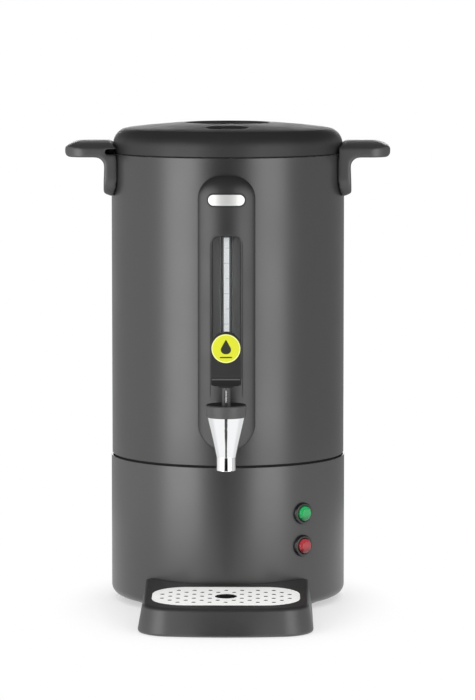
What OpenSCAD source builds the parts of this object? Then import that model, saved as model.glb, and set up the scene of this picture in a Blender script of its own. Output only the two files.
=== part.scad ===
// Coffee urn: a percolator urn with a lever tap, a sight tube, a bayonet lid and a drip tray.
// Millimetres. The origin is on the floor below the urn's axis, +Z is up and the tap faces -Y.

/* [Body] */
// Outer diameter of the upper jacket
body_d = 220; // [205:1:250]
// How far the base shell stands out past the jacket all round
base_step = 0.8; // [0.4:0.1:2]
// Height of the groove between the base shell and the jacket
seam_z = 138.5; // [125:0.5:150]
// Opening of that groove
seam_gap = 1.6; // [1:0.1:3]
// Depth of that groove
seam_depth = 1.8; // [1:0.1:2.4]
// Height of the vessel's rim above the floor
rim_z = 423.5; // [410:0.5:440]
// Sheet of the jacket
jacket_t = 0.8; // [0.6:0.1:1]
// Wall of the base shell
base_t = 1.5; // [1.2:0.1:2]
// Radius of the base shell's bottom edge
base_round = 9; // [6:0.5:12]
// Height of the base shell above the floor
foot_h = 4; // [3:0.5:7]
// Width of the rubber foot ring
foot_w = 10; // [8:1:11]
// Sheet of the base plate
plate_t = 1.5; // [1:0.1:2]

/* [Vessel] */
// Sheet of the vessel
vessel_t = 0.8; // [0.6:0.1:1]
// Air gap between the vessel and the jacket
air_gap = 3.7; // [3.4:0.1:6]
// Height of the vessel's floor above the groove
floor_rise = 6.5; // [5:0.5:10]
// Radius between the vessel's wall and floor
vessel_round = 10; // [6:1:14]
// Diameter of the pump well in the vessel's floor
well_d = 60; // [50:1:66]
// Depth of the pump well
well_depth = 9; // [6:0.5:12]

/* [Percolator] */
// Outer diameter of the pump tube
riser_d = 10; // [8:0.5:12]
// Wall of the pump tube
riser_t = 0.8; // [0.5:0.1:1]
// Diameter of the pump tube's bell
bell_d = 52; // [44:1:56]
// Height of the pump tube's bell
bell_h = 16; // [12:1:24]
// Outer diameter of the coffee basket
basket_d = 164; // [140:1:170]
// Height of the coffee basket
basket_h = 54; // [40:1:60]
// Sheet of the basket and of its spreader
basket_t = 0.7; // [0.5:0.1:1]
// Distance from the vessel's rim down to the basket's top
basket_drop = 18; // [14:1:24]
// Diameter of the holes in the basket and the spreader
strain_d = 3; // [2:0.5:4]

/* [Lid] */
// Height of the lid above the vessel's rim
lid_h = 30; // [28:0.5:36]
// How far the lid's edge stands in from the jacket
lid_inset = 0.7; // [0.4:0.1:1.2]
// Open seam between the lid and the rim
lid_gap = 0.8; // [0.6:0.1:1.2]
// Wall of the lid
lid_t = 3; // [2.5:0.1:4]
// Radius of the lid's shoulder
shoulder_r = 20.5; // [16:0.5:22]
// Radius of the lid's crown
crown_r = 760; // [600:5:900]
// Diameter of the grip recess in the lid
recess_d = 80; // [70:1:90]
// Depth of the grip recess
recess_depth = 12; // [8:0.5:14]
// Width of the grip bar in the recess
grip_w = 14; // [10:1:18]
// Height of the grip bar
grip_h = 8.5; // [5:0.5:9]
// Width of the steam scoop in front of the recess
scoop_w = 38; // [30:1:46]
// Front-to-back size of the steam scoop
scoop_l = 20; // [16:1:22]
// Distance from the axis to the middle of the steam scoop
scoop_y = 69; // [66:1:72]
// Depth of the lid's skirt in the vessel's mouth
skirt_h = 8; // [5:0.5:10]
// Length of a bayonet lug, along the rim in degrees
lug_deg = 16; // [12:1:20]
// How far a bayonet lug stands out from the lid
lug_reach = 4.3; // [3:0.1:5]
// Thickness of a bayonet lug
lug_t = 3.3; // [2.5:0.1:4]

/* [Handles] */
// How far a handle reaches out from the jacket
handle_reach = 43; // [36:0.5:50]
// Width of a handle, front to back
handle_w = 78; // [60:1:84]
// Thickness of the grip at its crown
grip_t = 15; // [13.5:0.5:18]
// Height of the crown over the grip's front edge
grip_crown = 5.6; // [3:0.1:6]
// How far the grip's underside lies below the vessel's rim
grip_drop = 2.7; // [2:0.1:5]
// Height of the handle's bracket below the grip
bracket_h = 37; // [30:1:46]
// Thickness of the bracket on the jacket
bracket_t = 5.5; // [5.2:0.1:9]
// Radius between the grip and the bracket
handle_fillet = 8.5; // [6:0.5:11]
// Radius of the grip's outer corners
grip_corner = 20; // [14:1:26]

/* [Front column] */
// Width of the front column
col_w = 53; // [48:0.5:58]
// Height of the front column
col_h = 254; // [248:1:262]
// Height of the column's foot above the groove
col_rise = 15.5; // [12:0.5:18]
// How far the column stands out from the jacket
col_proud = 12; // [11.5:0.5:15]
// Radius of the column's bowed front
col_bow = 45; // [40:1:60]
// Radius of the column's long edges
col_edge = 5; // [3:0.5:6]
// Radius of the column's top corners
col_corner = 17; // [12:1:22]
// Width of the sight window
window_w = 26; // [20:1:28]
// Height of the sight window
window_h = 152.5; // [130:0.5:156]
// Height of the window's sill above the column's foot
sill_rise = 46; // [44:0.5:52]
// Radius of the window's corners
window_corner = 7; // [4:0.5:9]
// Width of the badge plate
badge_w = 33.5; // [28:0.5:38]
// Height of the badge plate
badge_h = 10; // [9:0.5:13]
// Sheet of the badge plate
badge_t = 1.2; // [0.8:0.1:1.6]
// Distance from the column's top down to the middle of the badge
badge_drop = 22; // [20:0.5:25]

/* [Sight tube] */
// Outer diameter of the sight tube
tube_d = 11; // [9:0.5:11.5]
// Wall of the sight tube
tube_t = 1.2; // [0.8:0.1:1.6]
// How far the tube's axis stands out from the jacket
tube_out = 3; // [2.5:0.1:3.5]

/* [Tap] */
// Distance from the column's front to the tap's axis
tap_reach = 23; // [21:0.5:28]
// Height of the spout's mouth above the floor
mouth_z = 140; // [130:0.5:145]
// Height of the chrome spout
spout_h = 49.5; // [46:0.5:54]
// Outer diameter of the spout's mouth
mouth_d = 18; // [16:0.5:20]
// Bore of the spout's mouth
mouth_bore = 13; // [10:0.5:14]
// Height of the spout's straight end
mouth_h = 12; // [8:0.5:14]
// Diameter of the spout under the collar
spout_d = 35.6; // [33:0.2:36.4]
// Diameter of the black collar
collar_d = 38; // [37:0.1:42]
// Height of the black collar
collar_h = 11; // [10:0.5:13]
// Height of the valve stem's guide above the collar
guide_h = 16; // [12:0.2:18]
// Diameter of the valve stem
stem_d = 4; // [3:0.1:4.4]
// Outer diameter of the threaded shank
shank_d = 16; // [14.5:0.5:17]
// Bore of the threaded shank
shank_bore = 11; // [8:0.5:12]
// Width of the lever's paddle
paddle_w = 28; // [24:0.5:31]
// Height of the lever's paddle over its pin
paddle_h = 48.5; // [40:0.5:56]
// How far the paddle's face stands in front of the pin
paddle_out = 13; // [12:0.5:18]
// Thickness of the paddle
paddle_t = 5; // [4:0.2:6]
// Diameter of the lever's pin
pin_d = 3; // [2.5:0.1:3.4]
// Distance from the pin to the heel's working edge
heel = 5; // [4:0.1:6]

/* [Buttons] */
// Turn of the buttons round the base from the front, in degrees
button_deg = 39.4; // [30:0.1:60]
// Height of the green button above the floor
green_z = 92; // [80:0.5:100]
// Height of the red button above the floor
red_z = 61.5; // [45:0.5:64]
// Outer diameter of a bezel
bezel_d = 20.5; // [19.5:0.5:23]
// Height of a bezel
bezel_h = 3.2; // [2.5:0.1:4]
// Diameter of a button cap
cap_d = 14.6; // [13:0.1:15]
// Height of a cap above the base shell
cap_h = 5.8; // [5:0.1:7]

/* [Drip tray] */
// Width of the tray at the floor
tray_w = 160; // [148:1:170]
// Distance from the urn's axis to the tray's front
tray_reach = 227.5; // [215:0.5:240]
// Height of the tray at the urn
tray_back_h = 29.5; // [28:0.5:34]
// Height of the tray at its front
tray_front_h = 25; // [24.5:0.5:28]
// How far the tray's sides lean in at the top
tray_lean = 4.6; // [2:0.2:6]
// Radius of the tray's front corners
tray_corner = 32; // [24:1:36]
// Radius of the tray's bowed front
tray_bow = 340; // [280:10:500]
// Width of the drip grid
grid_w = 135; // [125:1:138]
// Front-to-back size of the drip grid
grid_l = 82; // [74:1:86]
// Radius of the grid's corners
grid_corner = 32; // [22:1:36]
// Sheet of the drip grid
grid_t = 1.2; // [0.8:0.1:1.5]
// How far the grid lies below the tray's top
grid_sink = 0.5; // [0.3:0.1:2]
// Distance from the urn's axis to the middle of the grid
grid_y = 163.5; // [163:0.5:166]
// Diameter of the drip holes
drip_d = 4; // [3:0.2:4.6]
// Sideways step of the drip holes
drip_step_x = 7.27; // [6.8:0.01:9]
// Front-to-back step of the drip holes
drip_step_y = 8.7; // [8:0.1:10]
// Diameter of the finger hole in the grid
finger_d = 20; // [16:0.5:24]
// Wall of the tray's floor
tray_floor = 4; // [2.5:0.5:6]

/* [Base fittings] */
// Half width of an element's spreader ring
element_spread = 6.5; // [5.5:0.1:7]
// Space beside the elements
element_gap = 3; // [2:0.5:4]
// Diameter of the element's tube
element_d = 8; // [6.5:0.5:9]
// Diameter of the thermostat and the cut-out
stat_d = 17; // [14:0.5:20]
// Height of the thermostat and the cut-out
stat_h = 9; // [6:0.5:12]
// Diameter of the tie rods
rod_d = 5; // [4:0.5:6]
// Height of the cord gland above the floor
gland_z = 35; // [28:1:45]
// Outer diameter of the gland's flange
gland_d = 22; // [20:0.5:26]
// Outer diameter of the gland's barrel
barrel_d = 15; // [13:0.5:16]
// Bore of the gland
gland_bore = 7.6; // [6:0.1:9]
// How far the gland stands out behind the base
gland_out = 4; // [3:0.5:6]

/* [Hidden] */
$fn = 96;

// Clearances: pieces that seat on each other, a sliding fit, and pieces that move past each other
seat_gap = 0.05;
slide_gap = 0.08;
free_gap = 0.3;
// A cut runs this far past the face that it opens
past = 1;

// Radii and heights of the body
body_r = body_d / 2;
base_r = body_r + base_step;
jacket_in = body_r - jacket_t;
vessel_out = jacket_in - air_gap;
vessel_in = vessel_out - vessel_t;
base_in = base_r - base_t;
base_top = seam_z - seam_gap / 2;
jacket_z = seam_z + seam_gap / 2;
flange_z = rim_z - vessel_t;
vessel_z = seam_z + floor_rise;
under_z = vessel_z - vessel_t;
well_z = vessel_z - well_depth;
plate_z = foot_h + base_t;
plate_r = base_r - base_round - slide_gap;
lip_in = base_r - base_round - 8;
foot_r = lip_in - 2;
warm_r = well_d / 2 + vessel_t + element_spread + element_gap;
brew_r = warm_r + 2 * element_spread + element_gap;
rod_r = brew_r + element_spread + element_gap + rod_d / 2;
ring_lip = 6;
ring_lip_t = 1.8;

// Percolator
basket_top = rim_z - basket_drop;
basket_z = basket_top - basket_h;
collar_seat_t = 4;
collar_seat_r = riser_d / 2 + 4;
sleeve_t = 1;
spreader_lip = 2.5;
spreader_dish = 3;
riser_top = basket_top + 8;

// Lid
lid_r = body_r - lid_inset;
lid_z = rim_z + lid_gap;
lid_top = rim_z + lid_h;
crown_z = lid_top - crown_r;
shoulder_x = lid_r - shoulder_r;
shoulder_z = crown_z + sqrt(pow(crown_r, 2) - pow(shoulder_x, 2)) - shoulder_r;
recess_r = recess_d / 2;
recess_z = crown_z + sqrt(pow(crown_r, 2) - pow(recess_r, 2)) - recess_depth;
recess_draft = 3;
scoop_z = crown_z + sqrt(pow(crown_r, 2) - pow(scoop_y + scoop_l / 2, 2)) - 0.6;
skirt_r = vessel_in - 1.2;
skirt_t = 2.6;
gasket_r = vessel_in - 0.12;
gasket_h = 5;
vent_d = 3;
vent_step = 10;

// Handles
handle_in = body_r + 0.5;
slot_spare = 6.9;
slot_r = lid_r + lug_reach + slot_spare;
slot_z = lid_z - 0.7;
slot_h = lug_t + 1.5;
grip_z = rim_z - grip_drop;
grip_tip = body_r + handle_reach;
tip_round = 4.5;
tip_fall = 22.5;
tip_over = 0.6;
tip_drop = grip_crown + tip_over;
fall_r = (pow(tip_fall, 2) + pow(tip_drop, 2)) / (2 * tip_drop);
bracket_z = grip_z - bracket_h;
bracket_flare = 1;
bracket_slant = 3.4;
bracket_corner = 18;
screw_deg = 8;
screw_z = bracket_z + bracket_h / 2;
screw_d = 4;
screw_head_d = 6.8;
screw_head_h = 2.5;
screw_in = 4.5;

// Front column
col_z = seam_z + col_rise;
col_top = col_z + col_h;
col_front = body_r + col_proud;
col_axis = col_front - col_bow;
col_back = body_r - col_w;
edge_x = col_w / 2 - col_edge;
edge_y = col_axis + sqrt(pow(col_bow - col_edge, 2) - pow(edge_x, 2));
edge_meet = edge_x * col_bow / (col_bow - col_edge);
col_end = 8;
col_roll = 16;
roll_h = 14;
window_z = col_z + sill_rise;
window_top = window_z + window_h;
badge_z = col_top - badge_drop;
foot_screw = 12;
head_screw = 22;
col_screw_zs = [col_z + foot_screw, col_top - head_screw];
col_screw_deg = 4.5;

// Tap and sight tube
tube_y = body_r + tube_out;
tap_y = col_front + tap_reach;
spout_top = mouth_z + spout_h;
collar_top = spout_top + collar_h;
chamber_r = spout_d / 2 - 4.2;
plug_h = 4.5;
washer_t = 1.5;
shank_z = spout_top - shank_d / 2 - 3.5;
neck_r = shank_d / 2 + 3;
neck_end = col_front + washer_t;
seat_z = shank_z - shank_bore / 2 - 1;
shank_screw = 6;
socket_r = tube_d / 2 + 1.5;
socket_top = window_z - 1;
tube_foot = shank_z + shank_d / 2 + 1;
tube_head = window_top + 14;
cap_top = tube_head + 5;
seal_h = 4;
shank_in = vessel_in - 13;
nut_t = 6.5;
nut_y = vessel_in - 4.2 - nut_t;
guide_top = collar_top + guide_h;
guide_r = stem_d / 2 + 1.9;
eye_r = pin_d / 2 + 1.7;
eye_w = 4;
pin_z = guide_top + eye_r + 0.6;
heel_z = guide_top + free_gap;
cup_r = mouth_bore / 2 + 2.4;
cup_h = 6;
stem_flange_t = 1.4;
spring_z = seat_z + cup_h + stem_flange_t;
spring_top = collar_top - 3.2;
spring_wire = 1.2;
spring_r = 5.2;
spring_turns = 5;
fork_gap = eye_w + 2 * 0.15;
hub_w = fork_gap + 10;
stem_rate = heel;

// Buttons
bore_r = cap_d / 2 + slide_gap;
barrel_r = cap_d / 2 + 2.1;
counter_r = cap_d / 2 + 1;
stop_t = 1.6;
stop_in = 7.5;
barrel_in = 12.5;
switch_w = 20;
switch_l = 22;

// Drip tray
tray_back = base_r + 0.6;
pocket_gap = 0.4;
ledge = 4;
tray_half = tray_w / 2;
tray_tall = tray_back_h + 6;
tray_slope = atan((tray_back_h - tray_front_h) / (tray_reach - base_r));
bow_y = tray_bow - tray_reach;
corner_x = tray_half - tray_corner;
corner_y = sqrt(pow(tray_bow - tray_corner, 2) - pow(corner_x, 2)) - bow_y;
tray_tip = sqrt(pow(tray_back, 2) - pow(tray_half - 6, 2));

// A flat ring round the Z axis.
module ring(inner, outer, z0, z1) {
  translate([0, 0, z0])
    difference() {
      cylinder(r = outer, h = z1 - z0);
      translate([0, 0, -past]) cylinder(r = inner, h = z1 - z0 + 2 * past);
    }
}

// A rod that points to -Y, from one distance in front of the axis to another.
module front_rod(r, y0, y1, z) {
  translate([0, -y0, z]) rotate([90, 0, 0]) cylinder(r = r, h = y1 - y0);
}

// A rod that points outwards along a bearing from +X.
module radial_rod(r, x0, x1, deg, z) {
  rotate([0, 0, deg]) translate([x0, 0, z]) rotate([0, 90, 0]) cylinder(r = r, h = x1 - x0);
}

// A flat rectangle with round corners, centred.
module soft_rect(w, h, r) {
  square([w - 2 * r, h], center = true);
  square([w, h - 2 * r], center = true);
  for (x = [-1, 1], y = [-1, 1])
    translate([x * (w / 2 - r), y * (h / 2 - r)]) circle(r = r);
}

// A flat bar with half-round ends, centred.
module obround(w, h) {
  square([w - h, h], center = true);
  for (x = [-1, 1]) translate([x * (w - h) / 2, 0]) circle(d = h);
}

// Extrudes a flat outline drawn in X and Z, from one distance in front of the axis to another.
module slab_xz(y0, y1) {
  translate([0, -y0, 0]) rotate([90, 0, 0]) linear_extrude(height = y1 - y0) children();
}

// Extrudes a flat outline drawn in Y and Z, evenly to both sides.
module slab_yz(w) {
  translate([-w / 2, 0, 0]) rotate([90, 0, 90]) linear_extrude(height = w) children();
}

// Moves a piece drawn along +Z so that it points out of the base at a button.
module at_button(z) {
  rotate([0, 0, button_deg]) translate([0, -base_r, z]) rotate([90, 0, 0]) children();
}

// Base

module foot_ring() {
  color("#161616") ring(foot_r - foot_w, foot_r, 0, plate_z);
}

module base_plate() {
  slot_l = 26;
  slot_w = 5;
  vent_in = 26;
  color("#b8bcc0")
    difference() {
      translate([0, 0, plate_z]) cylinder(r = plate_r, h = plate_t);
      for (a = [0:60:300])
        rotate([0, 0, a]) translate([rod_r - vent_in, 0, plate_z - past])
          rotate([0, 0, 90]) linear_extrude(height = plate_t + 2 * past) obround(slot_l, slot_w);
      for (a = [30, 150, 270])
        rotate([0, 0, a]) translate([rod_r, 0, plate_z - past])
          cylinder(r = rod_d / 2 + 0.2, h = plate_t + 2 * past);
    }
}

// Half section of the base shell: a wall, a round bottom edge and a lip that carries the base plate.
module base_section(outer, round_r, bottom) {
  translate([lip_in, bottom]) square([outer - round_r - lip_in, base_top - bottom]);
  translate([lip_in, bottom + round_r]) square([outer - lip_in, base_top - bottom - round_r]);
  translate([outer - round_r, bottom + round_r]) circle(r = round_r);
}

module base_shell() {
  color("#3a3b3c")
    difference() {
      rotate_extrude()
        difference() {
          base_section(base_r, base_round, foot_h);
          translate([-base_t, 0]) base_inner();
        }
      for (z = [green_z, red_z])
        at_button(z) translate([0, 0, -base_round]) cylinder(r = barrel_r + 0.1, h = 2 * base_round);
      radial_rod(barrel_d / 2 + 0.2, base_in - past, base_r + past, 90, gland_z);
    }
}

// The hollow of the base shell's half section, drawn one wall further out.
module base_inner() {
  inner_round = base_round - base_t;
  hollow_z = foot_h + base_t;
  translate([lip_in - past, hollow_z])
    square([base_r - inner_round - lip_in + past, base_top - hollow_z + past]);
  translate([lip_in - past, hollow_z + inner_round])
    square([base_r - lip_in + past, base_top - hollow_z - inner_round + past]);
  translate([base_r - inner_round, hollow_z + inner_round]) circle(r = inner_round);
}

module seam_ring() {
  lip_out = base_in - free_gap;
  upper_out = jacket_in - free_gap;
  color("#101010") {
    ring(upper_out - ring_lip_t, body_r - seam_depth, base_top, jacket_z);
    ring(upper_out - ring_lip_t, upper_out, jacket_z, jacket_z + ring_lip);
    ring(upper_out - ring_lip_t, lip_out, base_top - ring_lip, base_top);
  }
}

module tie_rods() {
  color("#c4c7ca")
    for (a = [30, 150, 270])
      rotate([0, 0, a]) translate([rod_r, 0, plate_z - 4])
        cylinder(r = rod_d / 2, h = under_z - plate_z + 4);
}

module tie_nuts() {
  nut_h = 3.6;
  color("#c4c7ca")
    for (a = [30, 150, 270])
      rotate([0, 0, a]) translate([rod_r, 0, plate_z - nut_h])
        difference() {
          cylinder(r = rod_d / 2 + 2.2, h = nut_h, $fn = 6);
          translate([0, 0, -past]) cylinder(r = rod_d / 2 + seat_gap, h = nut_h + 2 * past, $fn = 32);
        }
}

// A tubular element under a flat spreader ring, with its two cold ends hanging down.
module element(mid_r, ends_deg) {
  plate_h = 3;
  tail = 18;
  ring(mid_r - element_spread, mid_r + element_spread, under_z - plate_h, under_z);
  translate([0, 0, under_z - plate_h - element_d / 2 + 1])
    rotate_extrude() translate([mid_r, 0]) circle(r = element_d / 2, $fn = 32);
  for (a = [-ends_deg, ends_deg])
    rotate([0, 0, 90 + a]) translate([mid_r, 0, under_z - plate_h - element_d - tail])
      cylinder(r = element_d / 2 - 1, h = tail + element_d / 2 + 1, $fn = 32);
}

module brew_heater() {
  color("#8d8f90") element(brew_r, 9);
}

module warm_heater() {
  color("#8d8f90") element(warm_r, 14);
}

// A disc thermostat with two flat tabs.
module disc_stat() {
  tab = 7;
  translate([0, 0, -stat_h]) cylinder(r = stat_d / 2, h = stat_h);
  for (x = [-1, 1])
    translate([x * stat_d / 4 - 0.4, -3, -stat_h - tab]) cube([0.8, 6, tab + past]);
}

module thermostat() {
  color("#d9d4c4") translate([0, 0, well_z - vessel_t]) disc_stat();
}

module thermal_cutout() {
  cutout_r = vessel_out - vessel_round - vessel_t - stat_d / 2 - 1;
  color("#d9d4c4") rotate([0, 0, 65]) translate([cutout_r, 0, under_z]) disc_stat();
}

module terminal_block() {
  block = [44, 18, 16];
  ways = 4;
  color("#e6e3da")
    translate([-block[0] / 2, brew_r - block[1] / 2 - 2, plate_z + plate_t])
      difference() {
        cube(block);
        for (i = [0:ways - 1])
          translate([block[0] * (i + 0.5) / ways, block[1] / 2, block[2] - 6]) cylinder(d = 6, h = 6 + past);
      }
}

module cord_gland() {
  color("#161616")
    difference() {
      union() {
        difference() {
          radial_rod(gland_d / 2, base_r - 3, base_r + gland_out, 90, gland_z);
          translate([0, 0, gland_z - gland_d]) cylinder(r = base_r + seat_gap, h = 2 * gland_d, $fn = 180);
        }
        radial_rod(barrel_d / 2, base_in - 12, base_r + gland_out, 90, gland_z);
      }
      radial_rod(gland_bore / 2, base_in - 12 - past, base_r + gland_out + past, 90, gland_z);
    }
}

module gland_nut() {
  nut_w = 6;
  face = sqrt(pow(base_in, 2) - pow(gland_d / 2, 2)) - seat_gap;
  color("#161616")
    rotate([0, 0, 90]) translate([face - nut_w, 0, gland_z]) rotate([0, 90, 0])
      difference() {
        cylinder(r = gland_d / 2, h = nut_w, $fn = 6);
        translate([0, 0, -past]) cylinder(r = barrel_d / 2 + seat_gap, h = nut_w + 2 * past);
      }
}

// Jacket and vessel

module jacket() {
  slot_half = socket_r + 0.6;
  color("#3a3b3c")
    difference() {
      union() {
        ring(jacket_in, body_r, jacket_z, rim_z);
        ring(vessel_out + free_gap, jacket_in + jacket_t / 2, flange_z - seat_gap - jacket_t, flange_z - seat_gap);
      }
      front_rod(shank_d / 2 + 0.6, vessel_in, col_front, shank_z);
      slab_xz(vessel_in, col_front)
        translate([-slot_half, shank_z]) square([2 * slot_half, cap_top + 1 - shank_z]);
      for (side = [0, 180], a = [-screw_deg, screw_deg])
        radial_rod(screw_d / 2 + 0.2, vessel_in, body_r + past, side + a, screw_z);
      for (z = col_screw_zs, a = [-col_screw_deg, col_screw_deg])
        radial_rod(screw_d / 2 + 0.2, vessel_in, body_r + past, a - 90, z);
    }
}

// Half section of the vessel's outer or inner face, down to the top of its floor or of its underside.
module vessel_section(wall_r, floor_z, round_r, well_r, pit_z) {
  translate([0, floor_z + round_r]) square([wall_r, rim_z + past - floor_z - round_r]);
  translate([0, floor_z]) square([wall_r - round_r, round_r + past]);
  translate([wall_r - round_r, floor_z + round_r]) circle(r = round_r);
  translate([0, pit_z]) square([well_r, floor_z - pit_z + past]);
}

module vessel() {
  color("#c9cbcc")
    difference() {
      rotate_extrude()
        difference() {
          union() {
            intersection() {
              vessel_section(vessel_out, under_z, vessel_round + vessel_t, well_d / 2 + vessel_t,
                well_z - vessel_t);
              square([body_r, rim_z]);
            }
            translate([vessel_in, flange_z]) square([jacket_in - seat_gap - vessel_in, vessel_t]);
          }
          vessel_section(vessel_in, vessel_z, vessel_round, well_d / 2, well_z);
        }
      front_rod(shank_d / 2 + 0.2, shank_in, vessel_out + past, shank_z);
    }
}

// Percolator

module pump_tube() {
  bell_top = well_z + bell_h;
  bell_t = 1;
  color("#d3d5d6")
    rotate_extrude()
      difference() {
        union() {
          polygon([
            [0, well_z], [bell_d / 2, well_z], [bell_d / 2, well_z + 3], [riser_d / 2 + 1, bell_top],
            [riser_d / 2, bell_top + 2], [riser_d / 2, riser_top], [0, riser_top]
          ]);
          translate([0, basket_z - collar_seat_t]) square([collar_seat_r, collar_seat_t]);
        }
        square([riser_d / 2 - riser_t, riser_top + past]);
        polygon([
          [0, well_z - past], [bell_d / 2 - bell_t, well_z - past], [bell_d / 2 - bell_t, well_z + 2],
          [riser_d / 2 - riser_t, bell_top - 2], [0, bell_top - 2]
        ]);
      }
}

// Rings of strainer holes between two radii.
module strainer(r0, r1, z, h) {
  rings = floor((r1 - r0) / 11);
  for (i = [0:rings], a = [0:360 / (8 + 6 * i):359])
    rotate([0, 0, a + 7 * i]) translate([r0 + (r1 - r0) * i / rings, 0, z])
      cylinder(d = strain_d, h = h, $fn = 16);
}

module coffee_basket() {
  bore = riser_d / 2 + slide_gap;
  color("#c9cbcc")
    difference() {
      rotate_extrude() {
        translate([bore, basket_z]) square([basket_d / 2 - bore, basket_t]);
        translate([basket_d / 2 - basket_t, basket_z]) square([basket_t, basket_h]);
        translate([bore, basket_z]) square([sleeve_t, basket_h - spreader_dish - 2]);
      }
      strainer(18, basket_d / 2 - 12, basket_z - past, basket_t + 2 * past);
    }
}

module spreader() {
  bore = riser_d / 2 + slide_gap;
  dish_r = basket_d / 2 - basket_t - 0.4;
  dish_z = basket_top - spreader_dish;
  color("#c9cbcc")
    difference() {
      rotate_extrude() {
        translate([bore, dish_z]) square([dish_r - bore, basket_t]);
        translate([dish_r - basket_t, dish_z]) square([basket_t, spreader_dish + basket_t]);
        translate([dish_r - basket_t, basket_top])
          square([basket_d / 2 + spreader_lip - dish_r + basket_t, basket_t]);
      }
      strainer(22, dish_r - 14, dish_z - past, basket_t + 2 * past);
    }
}

// Lid

// Half section of a dome with a round shoulder, inset from the lid's outside.
module dome_section(inset, bottom) {
  intersection() {
    union() {
      translate([0, bottom]) square([shoulder_x, lid_top - bottom]);
      translate([0, bottom]) square([lid_r - inset, shoulder_z - bottom]);
      translate([shoulder_x, shoulder_z]) circle(r = shoulder_r - inset);
    }
    translate([0, crown_z]) circle(r = crown_r - inset, $fn = 720);
    translate([0, bottom]) square([lid_r, lid_h * 2]);
  }
}

// Half section of the grip recess, widened and lowered by the wall.
module recess_section(wall) {
  polygon([
    [0, recess_z - wall], [recess_r - recess_draft + wall, recess_z - wall],
    [recess_r + wall, lid_top], [0, lid_top]
  ]);
}

module scoop_outline(grow) {
  translate([0, -scoop_y]) obround(scoop_w + 2 * grow, scoop_l + 2 * grow);
}

module lid() {
  color("#242526") {
    difference() {
      union() {
        rotate_extrude($fn = 180)
          difference() {
            dome_section(0, lid_z);
            difference() {
              dome_section(lid_t, lid_z - past);
              recess_section(lid_t);
            }
            recess_section(0);
          }
        intersection() {
          translate([0, 0, scoop_z - lid_t]) linear_extrude(height = lid_h) scoop_outline(lid_t);
          rotate_extrude($fn = 180) dome_section(lid_t / 2, lid_z);
        }
        ring(skirt_r - skirt_t, lid_r - lid_t / 2, lid_z, lid_z + lid_t);
        ring(skirt_r - skirt_t, skirt_r, rim_z - skirt_h, lid_z + lid_t);
      }
      translate([0, 0, scoop_z]) linear_extrude(height = lid_h) scoop_outline(0);
      for (x = [-vent_step, 0, vent_step])
        translate([x, -scoop_y, scoop_z - lid_t - past]) cylinder(d = vent_d, h = lid_t + 2 * past);
    }
    intersection() {
      slab_xz(-grip_w / 2, grip_w / 2) grip_outline();
      translate([0, 0, recess_z - lid_t]) cylinder(r = recess_r, h = recess_depth + lid_t);
    }
    for (side = [0, 180])
      rotate([0, 0, side - lug_deg / 2])
        rotate_extrude(angle = lug_deg)
          translate([lid_r - lid_t / 2, lid_z]) square([lid_t / 2 + lug_reach, lug_t]);
  }
}

// Front view of the grip bar: it rises from the recess's floor and runs out into its wall.
module grip_outline() {
  translate([-recess_r, recess_z - 0.5]) square([2 * recess_r, grip_h + 0.5]);
}

module lid_gasket() {
  color("#2f2f30") {
    ring(skirt_r + seat_gap, gasket_r, rim_z - skirt_h, rim_z - skirt_h + gasket_h);
    ring(skirt_r + seat_gap, vessel_in - 0.5, rim_z - skirt_h + gasket_h, lid_z);
    ring(skirt_r + seat_gap, lid_r - 3, rim_z + free_gap, lid_z);
  }
}

// Handles

// Side view of a handle at +X: a crowned grip, a fillet, and a bracket that flares a little.
module handle_side() {
  inner = handle_in - bracket_corner;
  foot_x = body_r + bracket_t + bracket_flare;
  neck_x = body_r + bracket_t;
  translate([inner, grip_z + tip_round]) square([grip_tip - inner, grip_t - grip_crown - tip_round - past]);
  translate([inner, grip_z]) square([grip_tip - tip_fall - inner, grip_t + tip_over]);
  translate([inner, grip_z]) square([grip_tip - tip_round - inner, grip_t - grip_crown - past]);
  intersection() {
    translate([grip_tip - tip_fall - past, grip_z + tip_round]) square([tip_fall + past, grip_t]);
    translate([grip_tip - tip_fall, grip_z + grip_t + tip_over - fall_r]) circle(r = fall_r, $fn = 180);
  }
  translate([grip_tip - tip_round, grip_z + tip_round]) circle(r = tip_round);
  polygon([
    [inner, bracket_z], [body_r, bracket_z], [foot_x, bracket_z + bracket_slant],
    [neck_x, grip_z - handle_fillet], [neck_x, grip_z + 5], [inner, grip_z + 5]
  ]);
  difference() {
    translate([neck_x - 2, grip_z - handle_fillet]) square([handle_fillet + 2, handle_fillet + 3]);
    translate([neck_x + handle_fillet, grip_z - handle_fillet]) circle(r = handle_fillet);
  }
}

// Outline of a handle from above: straight by the jacket, with round outer corners.
module handle_plan() {
  inner = handle_in - bracket_corner - past;
  translate([inner, -handle_w / 2]) square([grip_tip - grip_corner - inner, handle_w]);
  translate([inner, -handle_w / 2 + grip_corner]) square([grip_tip - inner, handle_w - 2 * grip_corner]);
  for (y = [-1, 1])
    translate([grip_tip - grip_corner, y * (handle_w / 2 - grip_corner)]) circle(r = grip_corner);
}

// Outline of a handle seen end on: crowned on top, with round lower corners on the bracket.
module handle_end() {
  grip_top = grip_z + grip_t;
  crown = (pow(handle_w / 2, 2) + pow(grip_crown, 2)) / (2 * grip_crown);
  intersection() {
    union() {
      translate([-handle_w / 2, bracket_z + bracket_corner]) square([handle_w, bracket_corner]);
      translate([-handle_w / 2 - past, bracket_z + bracket_corner + past])
        square([handle_w + 2 * past, grip_top - bracket_z - bracket_corner]);
      translate([-handle_w / 2 + bracket_corner, bracket_z]) square([handle_w - 2 * bracket_corner, bracket_h]);
      for (y = [-1, 1])
        translate([y * (handle_w / 2 - bracket_corner), bracket_z + bracket_corner]) circle(r = bracket_corner);
    }
    translate([0, grip_top - crown]) circle(r = crown, $fn = 360);
  }
}

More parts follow.
